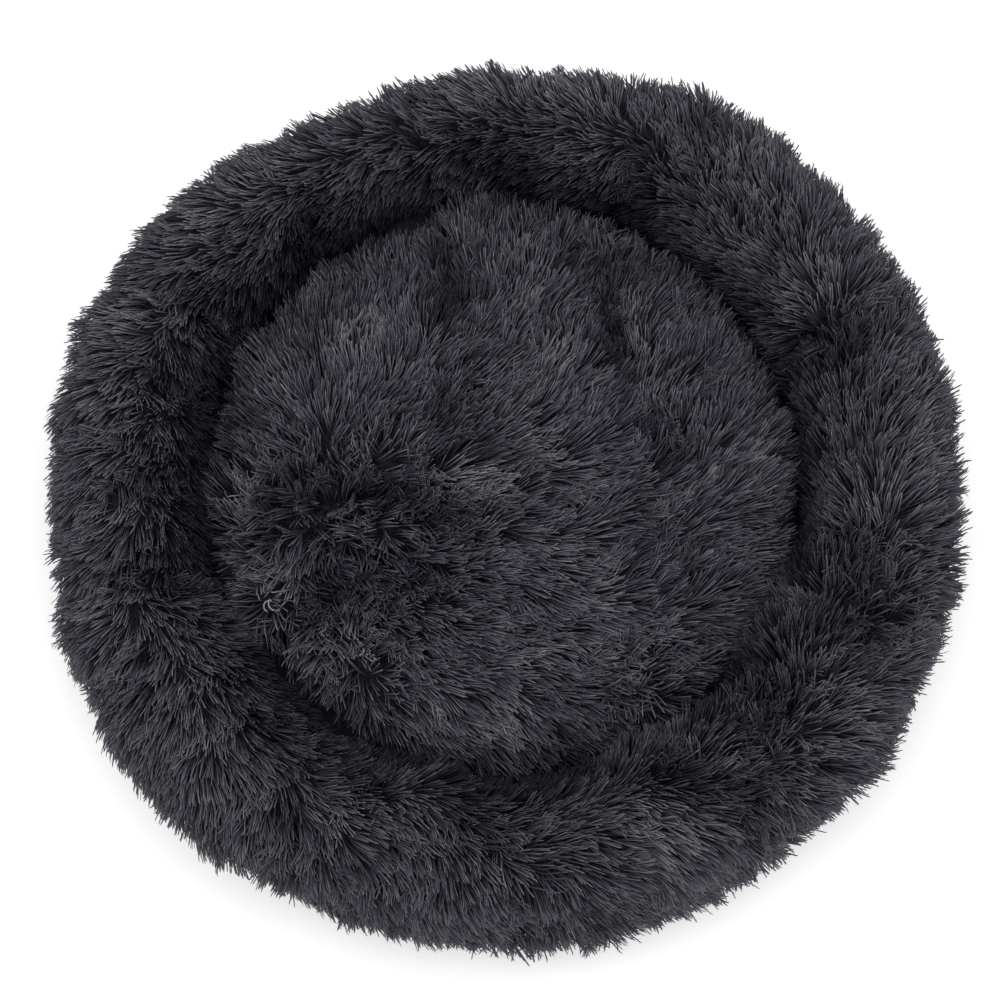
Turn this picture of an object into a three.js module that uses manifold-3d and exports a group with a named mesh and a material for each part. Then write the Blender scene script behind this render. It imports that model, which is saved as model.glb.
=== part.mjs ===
// Round plush pet bed: a ring bolster sewn from nine plush panels, a lift-out plush cushion
// in its hollow, a flat non-slip base and a zip in the rear base seam.
// Millimetres, +Z up, +Y to the rear. The origin is the middle of the footprint, on the floor.
import * as THREE from 'three';
import { mergeVertices } from 'three/addons/utils/BufferGeometryUtils.js';
import Module from 'manifold-3d';

const wasm = await Module();
wasm.setup();

// Fits
const fitGap = 0.4;
const overrun = 5;

// Cloth thicknesses, and the plush pile brushed flat
const pileDepth = 15;
const linerCloth = 0.8;
const baseCloth = 1.5;
const floorCloth = 1.2;
const cushionCloth = 1.2;
const waddingLoft = 4.2;

// Ring bolster, measured over the pile
const ringRadius = 293;
const ringWidth = 100;
const ringHeight = 130;
const ringBulgeHeight = 62;
const hollowOffsetX = -2;
const hollowOffsetY = 14;
const innerFootShare = 0.4;
const roundnessPower = 2.3;

// Plan outline: gentle waves round the mean radius, each [times round, height share, phase in degrees]
const outlineWaveShares = [
  [1, 0.0022, 18],
  [2, 0.0164, 40],
  [3, 0.005, 176],
  [4, 0.0077, -141],
  [5, 0.005, -25],
];

// Radial seams between the nine panels, each [degrees from +X, share of the full pinch]
const creaseShares = [
  [28, 1],
  [67, 1],
  [105, 0.9],
  [153, 1],
  [197, 1],
  [237, 1],
  [272, 0.6],
  [310, 1],
  [351, 0.9],
];
const creaseHalfWidth = 36;
const creaseDropTop = 15;
const creaseDropOuter = 7;
const creaseDropInner = 6;
const seamPileShare = 0.55;

// Base seam and zip. The zip lies in from the pile's edge, and the base's foot in from the zip.
// The tapes run past the teeth far enough for the pull to lie on them at the open end.
const seamHeight = 22;
const zipInset = 17;
const bandReach = 26;
const zipMiddleDegrees = 90;
const zipTiltDegrees = 15;
const zipHalfWidth = 12.9;
const tapeThickness = 0.8;
const toothPitch = 4;
const toothCount = 75;
const toothGap = 0.4;
const toothThickness = 4;
const toothReach = 1;
const toothRoot = 1.3;
const beadWidth = 3.6;
const stopLength = 3;
const stopProud = 0.3;

// Zip slider and pull
const sliderLength = 18;
const sliderMouthWidth = 13.4;
const sliderTailWidth = 11.8;
const plateThickness = 1.6;
const chainRoom = 0.5;
const flangeWidth = 1.2;
const flangeDepth = 1.5;
const wedgeLength = 5.5;
const wedgeHalfWidth = 1.9;
const wedgeSetback = 0.5;
const crownOuterRadius = 3.3;
const crownBoreRadius = 1.5;
const crownWidth = 3.2;
const pullLength = 34;
const pullHeadWidth = 8.6;
const pullTipWidth = 7;
const pullThickness = 1.6;
const pullWindowLength = 5.8;
const pullSideGap = 0.5;
const pullEyeLength = 9;
const pullEyeWidth = 3;

// Lift-out cushion, measured over the pile
const cushionPlay = 6;
const cushionSeamRise = 40;
const cushionCrown = 50;
const cushionCrownPower = 2.4;
const cushionFootPower = 4.5;

// Where the cushion's top is drawn in: [x share, y share, x share, y share] of the radius, then the
// depth and the half width in millimetres. A pair of equal points is a sewn tuft, others are channels.
const tuftDepth = 11;
const tuftHalfWidth = 24;
const channelDepth = 8;
const channelHalfWidth = 26;
const dishDepth = 7;
const dishHalfWidth = 48;
const drawShares = [
  [-0.76, -0.36, -0.76, -0.36, tuftDepth, tuftHalfWidth],
  [-0.52, -0.57, -0.52, -0.57, tuftDepth, tuftHalfWidth],
  [0.41, -0.68, 0.41, -0.68, tuftDepth, tuftHalfWidth],
  [-0.24, 0.94, -0.21, 0.66, channelDepth, channelHalfWidth],
  [0.31, 0.62, 0.54, 0.02, channelDepth, channelHalfWidth],
  [-0.4, -0.17, -0.26, -0.17, dishDepth, dishHalfWidth],
];

// Facets
const stepsPerPanel = 5;
const stepsPerQuarter = 3;
const discSides = 54;
const cushionSides = 44;
const crownSteps = 7;
const footSteps = 4;
const bandSteps = 4;
const tapeSteps = 26;
const arcSteps = 8;
const slopeStep = 0.004;

// Sizes worked out from the ones above
const degree = Math.PI / 180;
const turn = 2 * Math.PI;
const hollowRadius = ringRadius - ringWidth;
const zipRadius = ringRadius - zipInset;
const footRadius = zipRadius - bandReach;
const waddingBottom = baseCloth + fitGap;
const waddingTop = waddingBottom + waddingLoft;
const fillBottom = waddingTop + linerCloth + 2 * fitGap;
const fillTop = ringHeight - pileDepth - linerCloth - 2 * fitGap;
const floorBottom = waddingTop + fitGap;
const floorTop = floorBottom + floorCloth;
const linerInside = fitGap;
const linerOutside = fitGap + linerCloth;
const plushInside = linerOutside + fitGap;
const plushOutside = plushInside + pileDepth;
const zipTilt = zipTiltDegrees * degree;
const zipMiddle = zipMiddleDegrees * degree;
const seamRadius = zipRadius - zipHalfWidth * Math.sin(zipTilt);
const zipEdgeDrop = (tapeThickness / 2) * Math.sin(zipTilt);
const zipHeight = seamHeight + fitGap + zipEdgeDrop + zipHalfWidth * Math.cos(zipTilt);
const zipTop = zipHeight + zipHalfWidth * Math.cos(zipTilt) + zipEdgeDrop;
const toothWidth = toothPitch / 2 - toothGap;
const rowLength = toothCount * toothPitch;
const tapeEndLength = pullLength - sliderLength / 2;
const slotHalf = toothThickness / 2 + chainRoom;
const plateTop = slotHalf + plateThickness;
const hingeHeight = plateTop + fitGap + pullThickness / 2 + fitGap;
const cushionBottom = floorTop + fitGap;
const cushionSeam = cushionBottom + cushionSeamRise;
const cushionRadius = hollowRadius - cushionPlay;
const cushionBackingRadius = cushionRadius - pileDepth;

const group = new THREE.Group();

// Materials
function finish(color, roughness, metalness = 0) {
  return new THREE.MeshStandardMaterial({ color, roughness, metalness });
}

function add(name, geometry, material, parent = group) {
  const mesh = new THREE.Mesh(geometry, material);
  mesh.name = name;
  parent.add(mesh);
  return mesh;
}

// Closed meshes
function signedVolume(points, faces) {
  let sum = 0;
  for (const [a, b, c] of faces) {
    sum += points[a].dot(new THREE.Vector3().crossVectors(points[b], points[c]));
  }
  return sum;
}

function closedGeometry(points, faces) {
  const outward = signedVolume(points, faces) > 0;
  const flat = new THREE.BufferGeometry();
  flat.setAttribute('position', new THREE.Float32BufferAttribute(points.flatMap((p) => p.toArray()), 3));
  flat.setIndex(faces.flatMap(([a, b, c]) => (outward ? [a, b, c] : [a, c, b])));
  return weld(flat);
}

// Merges shared vertices and drops the triangles that a pole squeezes to nothing.
function weld(geometry) {
  geometry.deleteAttribute('normal');
  geometry.deleteAttribute('uv');
  const merged = mergeVertices(geometry);
  const old = merged.index.array;
  const kept = [];
  for (let i = 0; i < old.length; i += 3) {
    const [a, b, c] = [old[i], old[i + 1], old[i + 2]];
    if (a !== b && b !== c && c !== a) {
      kept.push(a, b, c);
    }
  }
  merged.setIndex(kept);
  merged.computeVertexNormals();
  return merged;
}

function quad(a, b, c, d) {
  return [[a, b, c], [a, c, d]];
}

// Joins closed loops of equal length. A loop of cloth goes out along one face and back along the
// other, from the point number turnBack on, and both faces are split along the same diagonals, so
// that cloths nest. An open run is capped as a strip between the two faces.
function loft(loops, closed, turnBack = loops[0].length / 2) {
  const points = loops.flat();
  const size = loops[0].length;
  const faces = [];
  const runs = closed ? loops.length : loops.length - 1;
  for (let i = 0; i < runs; i += 1) {
    const here = i * size;
    const next = ((i + 1) % loops.length) * size;
    for (let k = 0; k < size; k += 1) {
      const after = (k + 1) % size;
      const corners = [here + k, here + after, next + after, next + k];
      if (k >= turnBack) {
        corners.push(corners.shift());
      }
      faces.push(...quad(...corners));
    }
  }
  if (!closed) {
    const last = (loops.length - 1) * size;
    for (let k = 0; k < size / 2 - 1; k += 1) {
      const back = size - 1 - k;
      faces.push(...quad(k, back, back - 1, k + 1));
      faces.push(...quad(last + k, last + k + 1, last + back - 1, last + back));
    }
  }
  return closedGeometry(points, faces);
}

function toSolid(geometry) {
  const merged = weld(geometry);
  const mesh = new wasm.Mesh({
    numProp: 3,
    vertProperties: new Float32Array(merged.attributes.position.array),
    triVerts: new Uint32Array(merged.index.array),
  });
  return new wasm.Manifold(mesh);
}

function fromSolid(solid) {
  const mesh = solid.getMesh();
  const geometry = new THREE.BufferGeometry();
  geometry.setAttribute('position', new THREE.Float32BufferAttribute(mesh.vertProperties, 3));
  geometry.setIndex(Array.from(mesh.triVerts));
  geometry.computeVertexNormals();
  return geometry;
}

function extrude(shape, depth, bottom) {
  const geometry = new THREE.ExtrudeGeometry(shape, { depth, bevelEnabled: false, curveSegments: arcSteps });
  return geometry.translate(0, 0, bottom);
}

// Ring bolster
function creasePinch(theta) {
  let sum = 0;
  for (const [degrees, share] of creaseShares) {
    const apart = Math.atan2(Math.sin(theta - degrees * degree), Math.cos(theta - degrees * degree));
    sum += share * Math.exp(-(((apart * ringRadius) / creaseHalfWidth) ** 2));
  }
  return sum;
}

function outerRadius(theta) {
  let wave = 1;
  for (const [times, share, phase] of outlineWaveShares) {
    wave += share * Math.cos(times * theta - phase * degree);
  }
  return ringRadius * wave - creaseDropOuter * creasePinch(theta);
}

function innerRadius(theta) {
  const along = hollowOffsetX * Math.cos(theta) + hollowOffsetY * Math.sin(theta);
  const aside = hollowOffsetX * Math.sin(theta) - hollowOffsetY * Math.cos(theta);
  return along + Math.sqrt(hollowRadius ** 2 - aside ** 2) + creaseDropInner * creasePinch(theta);
}

// One point of the filled tube's section, as [radius, height]. phi is 0 at the outer bulge, a
// quarter turn at the top and half a turn at the inner wall. Below the bulge the outer side is
// the same all the way round, so that the base seam and the zip lie on a true circle.
function tubePoint(theta, phi) {
  const outer = outerRadius(theta) - plushOutside;
  const inner = innerRadius(theta) + plushOutside;
  const middle = (outer + inner) / 2;
  const c = Math.cos(phi);
  const s = Math.sin(phi);
  if (s >= 0) {
    const top = fillTop - creaseDropTop * creasePinch(theta);
    const across = Math.sign(c) * Math.abs(c) ** (2 / roundnessPower);
    const half = (outer - inner) / 2;
    return [middle + half * across, ringBulgeHeight + (top - ringBulgeHeight) * s ** (2 / roundnessPower)];
  }
  const z = ringBulgeHeight + (ringBulgeHeight - fillBottom) * s;
  if (c < 0) {
    const reach = (footRadius - inner) * innerFootShare;
    return [inner + reach + reach * c, z];
  }
  const swell = THREE.MathUtils.smoothstep(z, zipTop, ringBulgeHeight);
  const bulge = THREE.MathUtils.lerp(seamBulgeRadius, outer, swell);
  return [footRadius + (bulge - footRadius) * c, z];
}

function phiAtHeight(z) {
  return Math.asin((ringBulgeHeight - z) / (ringBulgeHeight - fillBottom));
}

// The tube's low bulge leaves room for the back of the slider between the liner and the teeth,
// from the slider's middle to its upper edge.
function bulgeBehindSlider(across) {
  const radius = zipRadius + across * Math.sin(zipTilt) - plateTop * Math.cos(zipTilt) - plushInside;
  const z = zipHeight + across * Math.cos(zipTilt) + plateTop * Math.sin(zipTilt);
  return footRadius + (radius - footRadius) / Math.cos(phiAtHeight(z));
}

const seamBulgeRadius = Math.min(bulgeBehindSlider(0), bulgeBehindSlider(sliderMouthWidth / 2));

const outerSeamPhi = -phiAtHeight(seamHeight + fitGap);
const innerSeamPhi = Math.PI + phiAtHeight(floorTop + fitGap);

// The outward normal of the section, as [radial, up]
function tubeNormal(theta, phi) {
  const before = tubePoint(theta, phi - slopeStep);
  const after = tubePoint(theta, phi + slopeStep);
  const across = after[1] - before[1];
  const up = before[0] - after[0];
  const length = Math.hypot(across, up);
  return [across / length, up / length];
}

// The same for the plush, whose edges are cut level at its two seams
function plushNormal(theta, phi) {
  const toSeam = Math.min(Math.abs(phi - outerSeamPhi), Math.abs(phi - innerSeamPhi));
  return toSeam < slopeStep ? [Math.sign(Math.cos(phi)), 0] : tubeNormal(theta, phi);
}

function tubeOffset(theta, phi, distance, normal) {
  const [r, z] = tubePoint(theta, phi);
  const radius = r + distance * normal[0];
  return new THREE.Vector3(radius * Math.cos(theta), radius * Math.sin(theta), z + distance * normal[1]);
}

function spread(from, to, steps) {
  return Array.from({ length: steps + 1 }, (_, i) => from + ((to - from) * i) / steps);
}

// Steps that crowd towards both ends, where a panel dips into its seams
function crowd(from, to, steps) {
  return spread(0, Math.PI, steps).map((t) => from + ((to - from) * (1 - Math.cos(t))) / 2);
}

const sideDown = spread(outerSeamPhi, 0, stepsPerQuarter);
const overTop = spread(0, Math.PI, 2 * stepsPerQuarter);
const innerDown = spread(Math.PI, innerSeamPhi, stepsPerQuarter);
const plushPhis = [...sideDown, ...overTop.slice(1), ...innerDown.slice(1)];

const panelAngles = creaseShares.map(([degrees], i) => {
  const last = i === creaseShares.length - 1;
  const next = creaseShares[(i + 1) % creaseShares.length][0];
  return [degrees * degree, (last ? next * degree + turn : next * degree)];
});
const ringAngles = panelAngles.flatMap(([from, to]) => crowd(from, to, stepsPerPanel).slice(0, -1));

// The pile stands full depth over the tube and thins towards both seams.
function pileAt(phi) {
  const down = phi < 0 ? phi / outerSeamPhi : (phi - Math.PI) / (innerSeamPhi - Math.PI);
  const share = THREE.MathUtils.clamp(down, 0, 1);
  return plushInside + pileDepth * THREE.MathUtils.lerp(1, seamPileShare, share ** 2);
}

function panelGeometry([from, to]) {
  const half = fitGap / 2 / (hollowRadius - hollowOffsetY);
  const loops = crowd(from + half, to - half, stepsPerPanel).map((theta) => {
    const pile = plushPhis.map((phi) => tubeOffset(theta, phi, pileAt(phi), plushNormal(theta, phi)));
    const backing = plushPhis.map((phi) => tubeOffset(theta, phi, plushInside, plushNormal(theta, phi)));
    return [...pile, ...backing.reverse()];
  });
  return loft(loops, false);
}

// The window in the plush that the zip fills, as a sector of a ring
function zipWindow() {
  const reach = rowLength / 2 + tapeEndLength + fitGap;
  const from = zipMiddle - reach / zipRadius;
  const to = zipMiddle + reach / zipRadius;
  const outer = ringRadius + 4 * overrun;
  const sector = new THREE.Shape();
  sector.absarc(0, 0, outer, from, to, false);
  sector.absarc(0, 0, footRadius, to, from, true);
  sector.closePath();
  const cutter = new THREE.ExtrudeGeometry(sector, {
    depth: zipTop + fitGap,
    bevelEnabled: false,
    curveSegments: discSides,
  });
  return { solid: toSolid(cutter), from, to };
}

const plush = finish(0x333237, 0.95);
const zipOpening = zipWindow();
panelAngles.forEach(([from, to], i) => {
  let geometry = panelGeometry([from, to]);
  if (from < zipOpening.to && to > zipOpening.from) {
    geometry = fromSolid(toSolid(geometry).subtract(zipOpening.solid));
  }
  add(`bolster_panel_${i + 1}`, geometry, plush.clone());
});

// Inner bag of the bolster, in two halves that meet at the outer and inner bulge. Its flat foot
// runs from the inner side's lowest point to the outer side's.
const split = fitGap / 2 / (ringBulgeHeight - fillBottom);
const upperPhis = [split, ...overTop.slice(1, -1), Math.PI - split];
const lowerPhis = [
  Math.PI + split,
  ...innerDown.slice(1),
  (3 * Math.PI) / 2,
  -Math.PI / 2,
  (outerSeamPhi - Math.PI / 2) / 2,
  ...sideDown.slice(0, -1),
  -split,
];

function bagPoint(theta, phi, distance) {
  return tubeOffset(theta, phi, distance, tubeNormal(theta, phi));
}

function bagGeometry(phis) {
  const loops = ringAngles.map((theta) => {
    const outside = phis.map((phi) => bagPoint(theta, phi, linerOutside));
    const inside = phis.map((phi) => bagPoint(theta, phi, linerInside));
    return [...outside, ...inside.reverse()];
  });
  return loft(loops, true);
}

const nonwoven = finish(0xd8d6d0, 0.9);
add('bolster_liner_upper', bagGeometry(upperPhis), nonwoven);
add('bolster_liner_lower', bagGeometry(lowerPhis), nonwoven.clone());

const fillPhis = [0, ...overTop.slice(1), ...lowerPhis.slice(1, -1)];
const fillLoops = ringAngles.map((theta) => fillPhis.map((phi) => bagPoint(theta, phi, 0)));
const fibre = finish(0xf0efea, 1);
add('bolster_filling', loft(fillLoops, true, fillPhis.length), fibre);

// Base, wadding and the lining that the cushion lies on
function disc(radius, thickness, bottom, x = 0, y = 0) {
  const geometry = new THREE.CylinderGeometry(radius, radius, thickness, discSides);
  return geometry.rotateX(Math.PI / 2).translate(x, y, bottom + thickness / 2);
}

const oxford = finish(0x26262a, 0.8);
add('base_panel', disc(footRadius, baseCloth, 0), oxford);

// The side band turns up from the base disc to the base seam.
function bandArc(radius, rise, bottom) {
  return spread(0, Math.PI / 2, bandSteps).map((t) => {
    const reach = radius - footRadius - fitGap;
    return new THREE.Vector2(footRadius + fitGap + reach * Math.sin(t), bottom + rise * (1 - Math.cos(t)));
  });
}

const bandOutside = bandArc(seamRadius, seamHeight, 0);
const bandInside = bandArc(seamRadius - baseCloth, seamHeight - baseCloth, baseCloth).reverse();
const bandProfile = [...bandOutside, ...bandInside, bandOutside[0]];
const band = new THREE.LatheGeometry(bandProfile, discSides).rotateX(Math.PI / 2);
add('base_band', weld(band), oxford.clone());

add('base_wadding', disc(footRadius - 2 * overrun, waddingLoft, waddingBottom), fibre.clone());

const floorRadius = hollowRadius + plushOutside;
const lining = finish(0x35343a, 0.85);
add('floor_panel', disc(floorRadius, floorCloth, floorBottom, hollowOffsetX, hollowOffsetY), lining);

// Zip: along runs round the seam circle, across runs up the tape, out is square to the tape.
function zipPoint(along, across, out) {
  const theta = zipMiddle + along / zipRadius;
  const radius = zipRadius + across * Math.sin(zipTilt) + out * Math.cos(zipTilt);
  const z = zipHeight + across * Math.cos(zipTilt) - out * Math.sin(zipTilt);
  return new THREE.Vector3(radius * Math.cos(theta), radius * Math.sin(theta), z);
}

function tapeGeometry(side) {
  const reach = rowLength / 2 + tapeEndLength;
  const inner = side * (beadWidth + fitGap);
  const outer = side * zipHalfWidth;
  const half = tapeThickness / 2;
  const loops = spread(-reach, reach, tapeSteps).map((along) => [
    zipPoint(along, inner, half),
    zipPoint(along, outer, half),
    zipPoint(along, outer, -half),
    zipPoint(along, inner, -half),
  ]);
  return loft(loops, false);
}

// A row of moulded teeth on its bead. Each tooth has six corners on the front face and six on the
// back, and the bead runs on to the next tooth.
function toothRow(side, first) {
  const half = toothThickness / 2;
  const bead = side * beadWidth;
  const root = side * toothRoot;
  const tip = -side * toothReach;
  const points = [];
  const faces = [];
  const backCount = 6;
  const stationCount = 2 * backCount;
  for (let k = 0; k < toothCount; k += 1) {
    const start = first + k * toothPitch;
    const end = start + toothWidth;
    for (const out of [half, -half]) {
      points.push(zipPoint(start, bead, out), zipPoint(start, root, out), zipPoint(start, tip, out));
      points.push(zipPoint(end, bead, out), zipPoint(end, root, out), zipPoint(end, tip, out));
    }
  }
  for (let k = 0; k < toothCount; k += 1) {
    const a = k * stationCount;
    const last = k === toothCount - 1;
    const [beadA, rootA, tipA, beadB, rootB, tipB] = [a, a + 1, a + 2, a + 3, a + 4, a + 5];
    const front = [[beadA, rootA, rootB], [rootA, tipA, tipB], [rootA, tipB, rootB]];
    const far = last ? beadB : a + stationCount;
    front.push([beadA, rootB, far]);
    if (!last) {
      front.push([rootB, far + 1, far]);
      faces.push(...quad(rootB, rootB + backCount, far + 1 + backCount, far + 1));
    }
    for (const [p, q, r] of front) {
      faces.push([p, q, r], [p + backCount, r + backCount, q + backCount]);
    }
    faces.push(...quad(rootA, rootA + backCount, tipA + backCount, tipA));
    faces.push(...quad(tipA, tipA + backCount, tipB + backCount, tipB));
    faces.push(...quad(tipB, tipB + backCount, rootB + backCount, rootB));
    faces.push(...quad(far, far + backCount, beadA + backCount, beadA));
    if (k === 0) {
      faces.push(...quad(beadA, beadA + backCount, rootA + backCount, rootA));
    }
    if (last) {
      faces.push(...quad(rootB, rootB + backCount, beadB + backCount, beadB));
    }
  }
  return closedGeometry(points, faces);
}

const acetal = finish(0x1f1f23, 0.5);
const tapeCloth = finish(0x2a2a2e, 0.9);
const rowStart = -rowLength / 2;
for (const [word, side] of [['upper', 1], ['lower', -1]]) {
  const first = side > 0 ? rowStart : rowStart + toothPitch / 2;
  add(`zip_tape_${word}`, tapeGeometry(side), tapeCloth.clone());
  add(`zip_teeth_${word}`, toothRow(side, first), acetal.clone());
}

// Stops: one on each tape beyond the slider, and one across both rows at the open end
function stopBlock(from, to, low, high) {
  const half = toothThickness / 2 + stopProud;
  const loops = [from, to].map((along) => [
    zipPoint(along, low, half),
    zipPoint(along, high, half),
    zipPoint(along, high, -half),
    zipPoint(along, low, -half),
  ]);
  return loft(loops, false);
}

const sliderAlong = rowStart + rowLength + toothPitch / 2 - wedgeLength + wedgeSetback;
const topStopAlong = sliderAlong + sliderLength / 2 + fitGap;
const bottomStopAlong = rowStart - fitGap;
const stopInner = toothRoot;
const metal = finish(0x3a3a3e, 0.35, 0.9);
for (const [word, side] of [['upper', 1], ['lower', -1]]) {
  const block = stopBlock(topStopAlong, topStopAlong + stopLength, side * stopInner, side * beadWidth);
  add(`zip_top_stop_${word}`, block, metal.clone());
}
add(
  'zip_bottom_stop',
  stopBlock(bottomStopAlong - stopLength, bottomStopAlong, -beadWidth, beadWidth),
  metal.clone(),
);

// The slider's own frame: x along the zip to its mouth, y up the tape, z out
function sliderFrame() {
  const theta = zipMiddle + sliderAlong / zipRadius;
  const out = new THREE.Vector3(
    Math.cos(zipTilt) * Math.cos(theta),
    Math.cos(zipTilt) * Math.sin(theta),
    -Math.sin(zipTilt),
  );
  const up = new THREE.Vector3(
    Math.sin(zipTilt) * Math.cos(theta),
    Math.sin(zipTilt) * Math.sin(theta),
    Math.cos(zipTilt),
  );
  const along = new THREE.Vector3().crossVectors(up, out);
  const frame = new THREE.Group();
  frame.quaternion.setFromRotationMatrix(new THREE.Matrix4().makeBasis(along, up, out));
  frame.position.copy(zipPoint(sliderAlong, 0, 0));
  return frame;
}

// A plate that widens from the tail to the mouth, with a rounded mouth edge
function plateShape(inset) {
  const tail = sliderTailWidth / 2 - inset;
  const mouth = sliderMouthWidth / 2 - inset;
  const half = sliderLength / 2 - inset;
  const corner = mouth / 2;
  const shape = new THREE.Shape();
  shape.moveTo(-half, -tail);
  shape.lineTo(half - corner, -mouth);
  shape.quadraticCurveTo(half, -mouth, half, -corner);
  shape.lineTo(half, corner);
  shape.quadraticCurveTo(half, mouth, half - corner, mouth);
  shape.lineTo(-half, tail);
  shape.closePath();
  return shape;
}

function flangeShape(side) {
  const tail = (side * sliderTailWidth) / 2;
  const mouth = (side * sliderMouthWidth) / 2;
  const half = sliderLength / 2;
  const front = half - sliderMouthWidth / 4;
  const shape = new THREE.Shape();
  shape.moveTo(-half, tail);
  shape.lineTo(front, mouth);
  shape.lineTo(front, mouth - side * flangeWidth);
  shape.lineTo(-half, tail - side * flangeWidth);
  shape.closePath();
  return shape;
}

function wedgeShape() {
  const front = sliderLength / 2 - wedgeSetback;
  const shape = new THREE.Shape();
  shape.moveTo(front - wedgeLength, 0);
  shape.lineTo(front - wedgeLength / 2, -wedgeHalfWidth);
  shape.lineTo(front, -wedgeHalfWidth / 2);
  shape.lineTo(front, wedgeHalfWidth / 2);
  shape.lineTo(front - wedgeLength / 2, wedgeHalfWidth);
  shape.closePath();
  return shape;
}

// The crown is a loop on the front plate that the pull's bar hangs in.
function crownGeometry(axisHeight, footHeight) {
  const shape = new THREE.Shape();
  shape.moveTo(-crownOuterRadius, footHeight);
  shape.lineTo(crownOuterRadius, footHeight);
  shape.lineTo(crownOuterRadius, axisHeight);
  shape.absarc(0, axisHeight, crownOuterRadius, 0, Math.PI, false);
  shape.closePath();
  const bore = new THREE.Path();
  bore.absarc(0, axisHeight, crownBoreRadius, 0, turn, true);
  shape.holes.push(bore);
  const loop = new THREE.ExtrudeGeometry(shape, {
    depth: crownWidth,
    bevelEnabled: false,
    curveSegments: arcSteps,
  });
  return loop.rotateX(Math.PI / 2).translate(0, crownWidth / 2, 0);
}

function sliderGeometry() {
  const front = toSolid(extrude(plateShape(0), plateThickness, slotHalf));
  const rear = toSolid(extrude(plateShape(0), plateThickness, -plateTop));
  const wedge = toSolid(extrude(wedgeShape(), 2 * slotHalf + plateThickness, -slotHalf - plateThickness / 2));
  let solid = front.add(rear).add(wedge);
  for (const side of [1, -1]) {
    const lip = flangeDepth + plateThickness / 2;
    solid = solid.add(toSolid(extrude(flangeShape(side), lip, slotHalf - flangeDepth)));
    solid = solid.add(toSolid(extrude(flangeShape(side), lip, -slotHalf - plateThickness / 2)));
  }
  const crown = crownGeometry(hingeHeight, plateTop - plateThickness / 2);
  return fromSolid(solid.add(toSolid(crown)));
}

// The pull lies back over the closed teeth. Its bar is square, with room to turn in the crown.
function pullGeometry() {
  const bar = crownBoreRadius / 2;
  const head = pullHeadWidth / 2;
  const tip = pullTipWidth / 2;
  const windowHalf = crownWidth / 2 + pullSideGap;
  const shape = new THREE.Shape();
  shape.moveTo(bar, -head);
  shape.lineTo(bar, head);
  shape.lineTo(-pullWindowLength - pullThickness, head);
  shape.lineTo(-pullLength + tip, tip);
  shape.absarc(-pullLength + tip, 0, tip, Math.PI / 2, (3 * Math.PI) / 2, false);
  shape.lineTo(-pullWindowLength - pullThickness, -head);
  shape.closePath();
  const opening = new THREE.Path();
  opening.moveTo(-bar, -windowHalf);
  opening.lineTo(-bar, windowHalf);
  opening.lineTo(-pullWindowLength, windowHalf);
  opening.lineTo(-pullWindowLength, -windowHalf);
  opening.closePath();
  const eyeEnd = -pullLength + pullTipWidth / 2;
  const eye = new THREE.Path();
  eye.absarc(eyeEnd, 0, pullEyeWidth / 2, Math.PI / 2, (3 * Math.PI) / 2, false);
  eye.absarc(eyeEnd + pullEyeLength, 0, pullEyeWidth / 2, -Math.PI / 2, Math.PI / 2, false);
  eye.closePath();
  shape.holes.push(opening, eye);
  return weld(extrude(shape, pullThickness, hingeHeight - pullThickness / 2));
}

const carriage = sliderFrame();
add('zip_slider', sliderGeometry(), metal, carriage);
add('zip_pull', pullGeometry(), metal.clone(), carriage);
group.add(carriage);

// Lift-out cushion
const cushion = new THREE.Group();
cushion.position.set(hollowOffsetX, hollowOffsetY, 0);
group.add(cushion);

// How far the tufts and channels draw the crown down at a place
function drawnIn(x, y) {
  let depth = 0;
  for (const [x0, y0, x1, y1, deep, half] of drawShares) {
    const from = new THREE.Vector3(x0, y0, 0).multiplyScalar(cushionRadius);
    const to = new THREE.Vector3(x1, y1, 0).multiplyScalar(cushionRadius);
    const near = new THREE.Vector3();
    new THREE.Line3(from, to).closestPointToPoint(new THREE.Vector3(x, y, 0), true, near);
    depth += deep * Math.exp(-(((near.x - x) ** 2 + (near.y - y) ** 2) / half ** 2));
  }
  return depth;
}

// Height of the plush over its seam, at a share of the way out from the middle
function crownRise(share, theta) {
  const round = (1 - share ** cushionCrownPower) ** (1 / cushionCrownPower);
  const x = share * cushionRadius * Math.cos(theta);
  const y = share * cushionRadius * Math.sin(theta);
  return cushionCrown * round - drawnIn(x, y) * round;
}

// A point of the top, moved into the cushion: straight down at the middle, level at the seam and
// square to the section between them
function topPoint(share, theta, depth) {
  const before = Math.max(share - slopeStep, 0);
  const after = Math.min(share + slopeStep, 1);
  const fall = crownRise(before, theta) - crownRise(after, theta);
  const slope = Math.atan2(fall, (after - before) * cushionRadius);
  const tilt = { 0: 0, 1: Math.PI / 2 }[share] ?? slope;
  const radius = share * cushionRadius - depth * Math.sin(tilt);
  const z = cushionSeam + fitGap / 2 + crownRise(share, theta) - depth * Math.cos(tilt);
  return new THREE.Vector3(radius * Math.cos(theta), radius * Math.sin(theta), z);
}

// A point of the underside, moved up into the cushion
function footPoint(share, theta, depth) {
  const round = (1 - share ** cushionFootPower) ** (1 / cushionFootPower);
  const height = cushionSeam - fitGap / 2 - cushionBottom;
  const radius = share * cushionBackingRadius - depth * share ** cushionFootPower;
  const z = cushionBottom + height * (1 - round) + depth * round;
  return new THREE.Vector3(radius * Math.cos(theta), radius * Math.sin(theta), z);
}

// Shares that crowd towards the seam, where the section turns down
const crownShares = spread(0, Math.PI / 2, crownSteps).map(Math.sin);
const footShares = spread(0, Math.PI / 2, footSteps).map(Math.sin);
const cushionAngles = spread(0, turn, cushionSides).slice(0, -1);

function cushionLoft(outside, inside) {
  return loft(cushionAngles.map((theta) => [...outside(theta), ...inside(theta).reverse()]), true);
}

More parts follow.
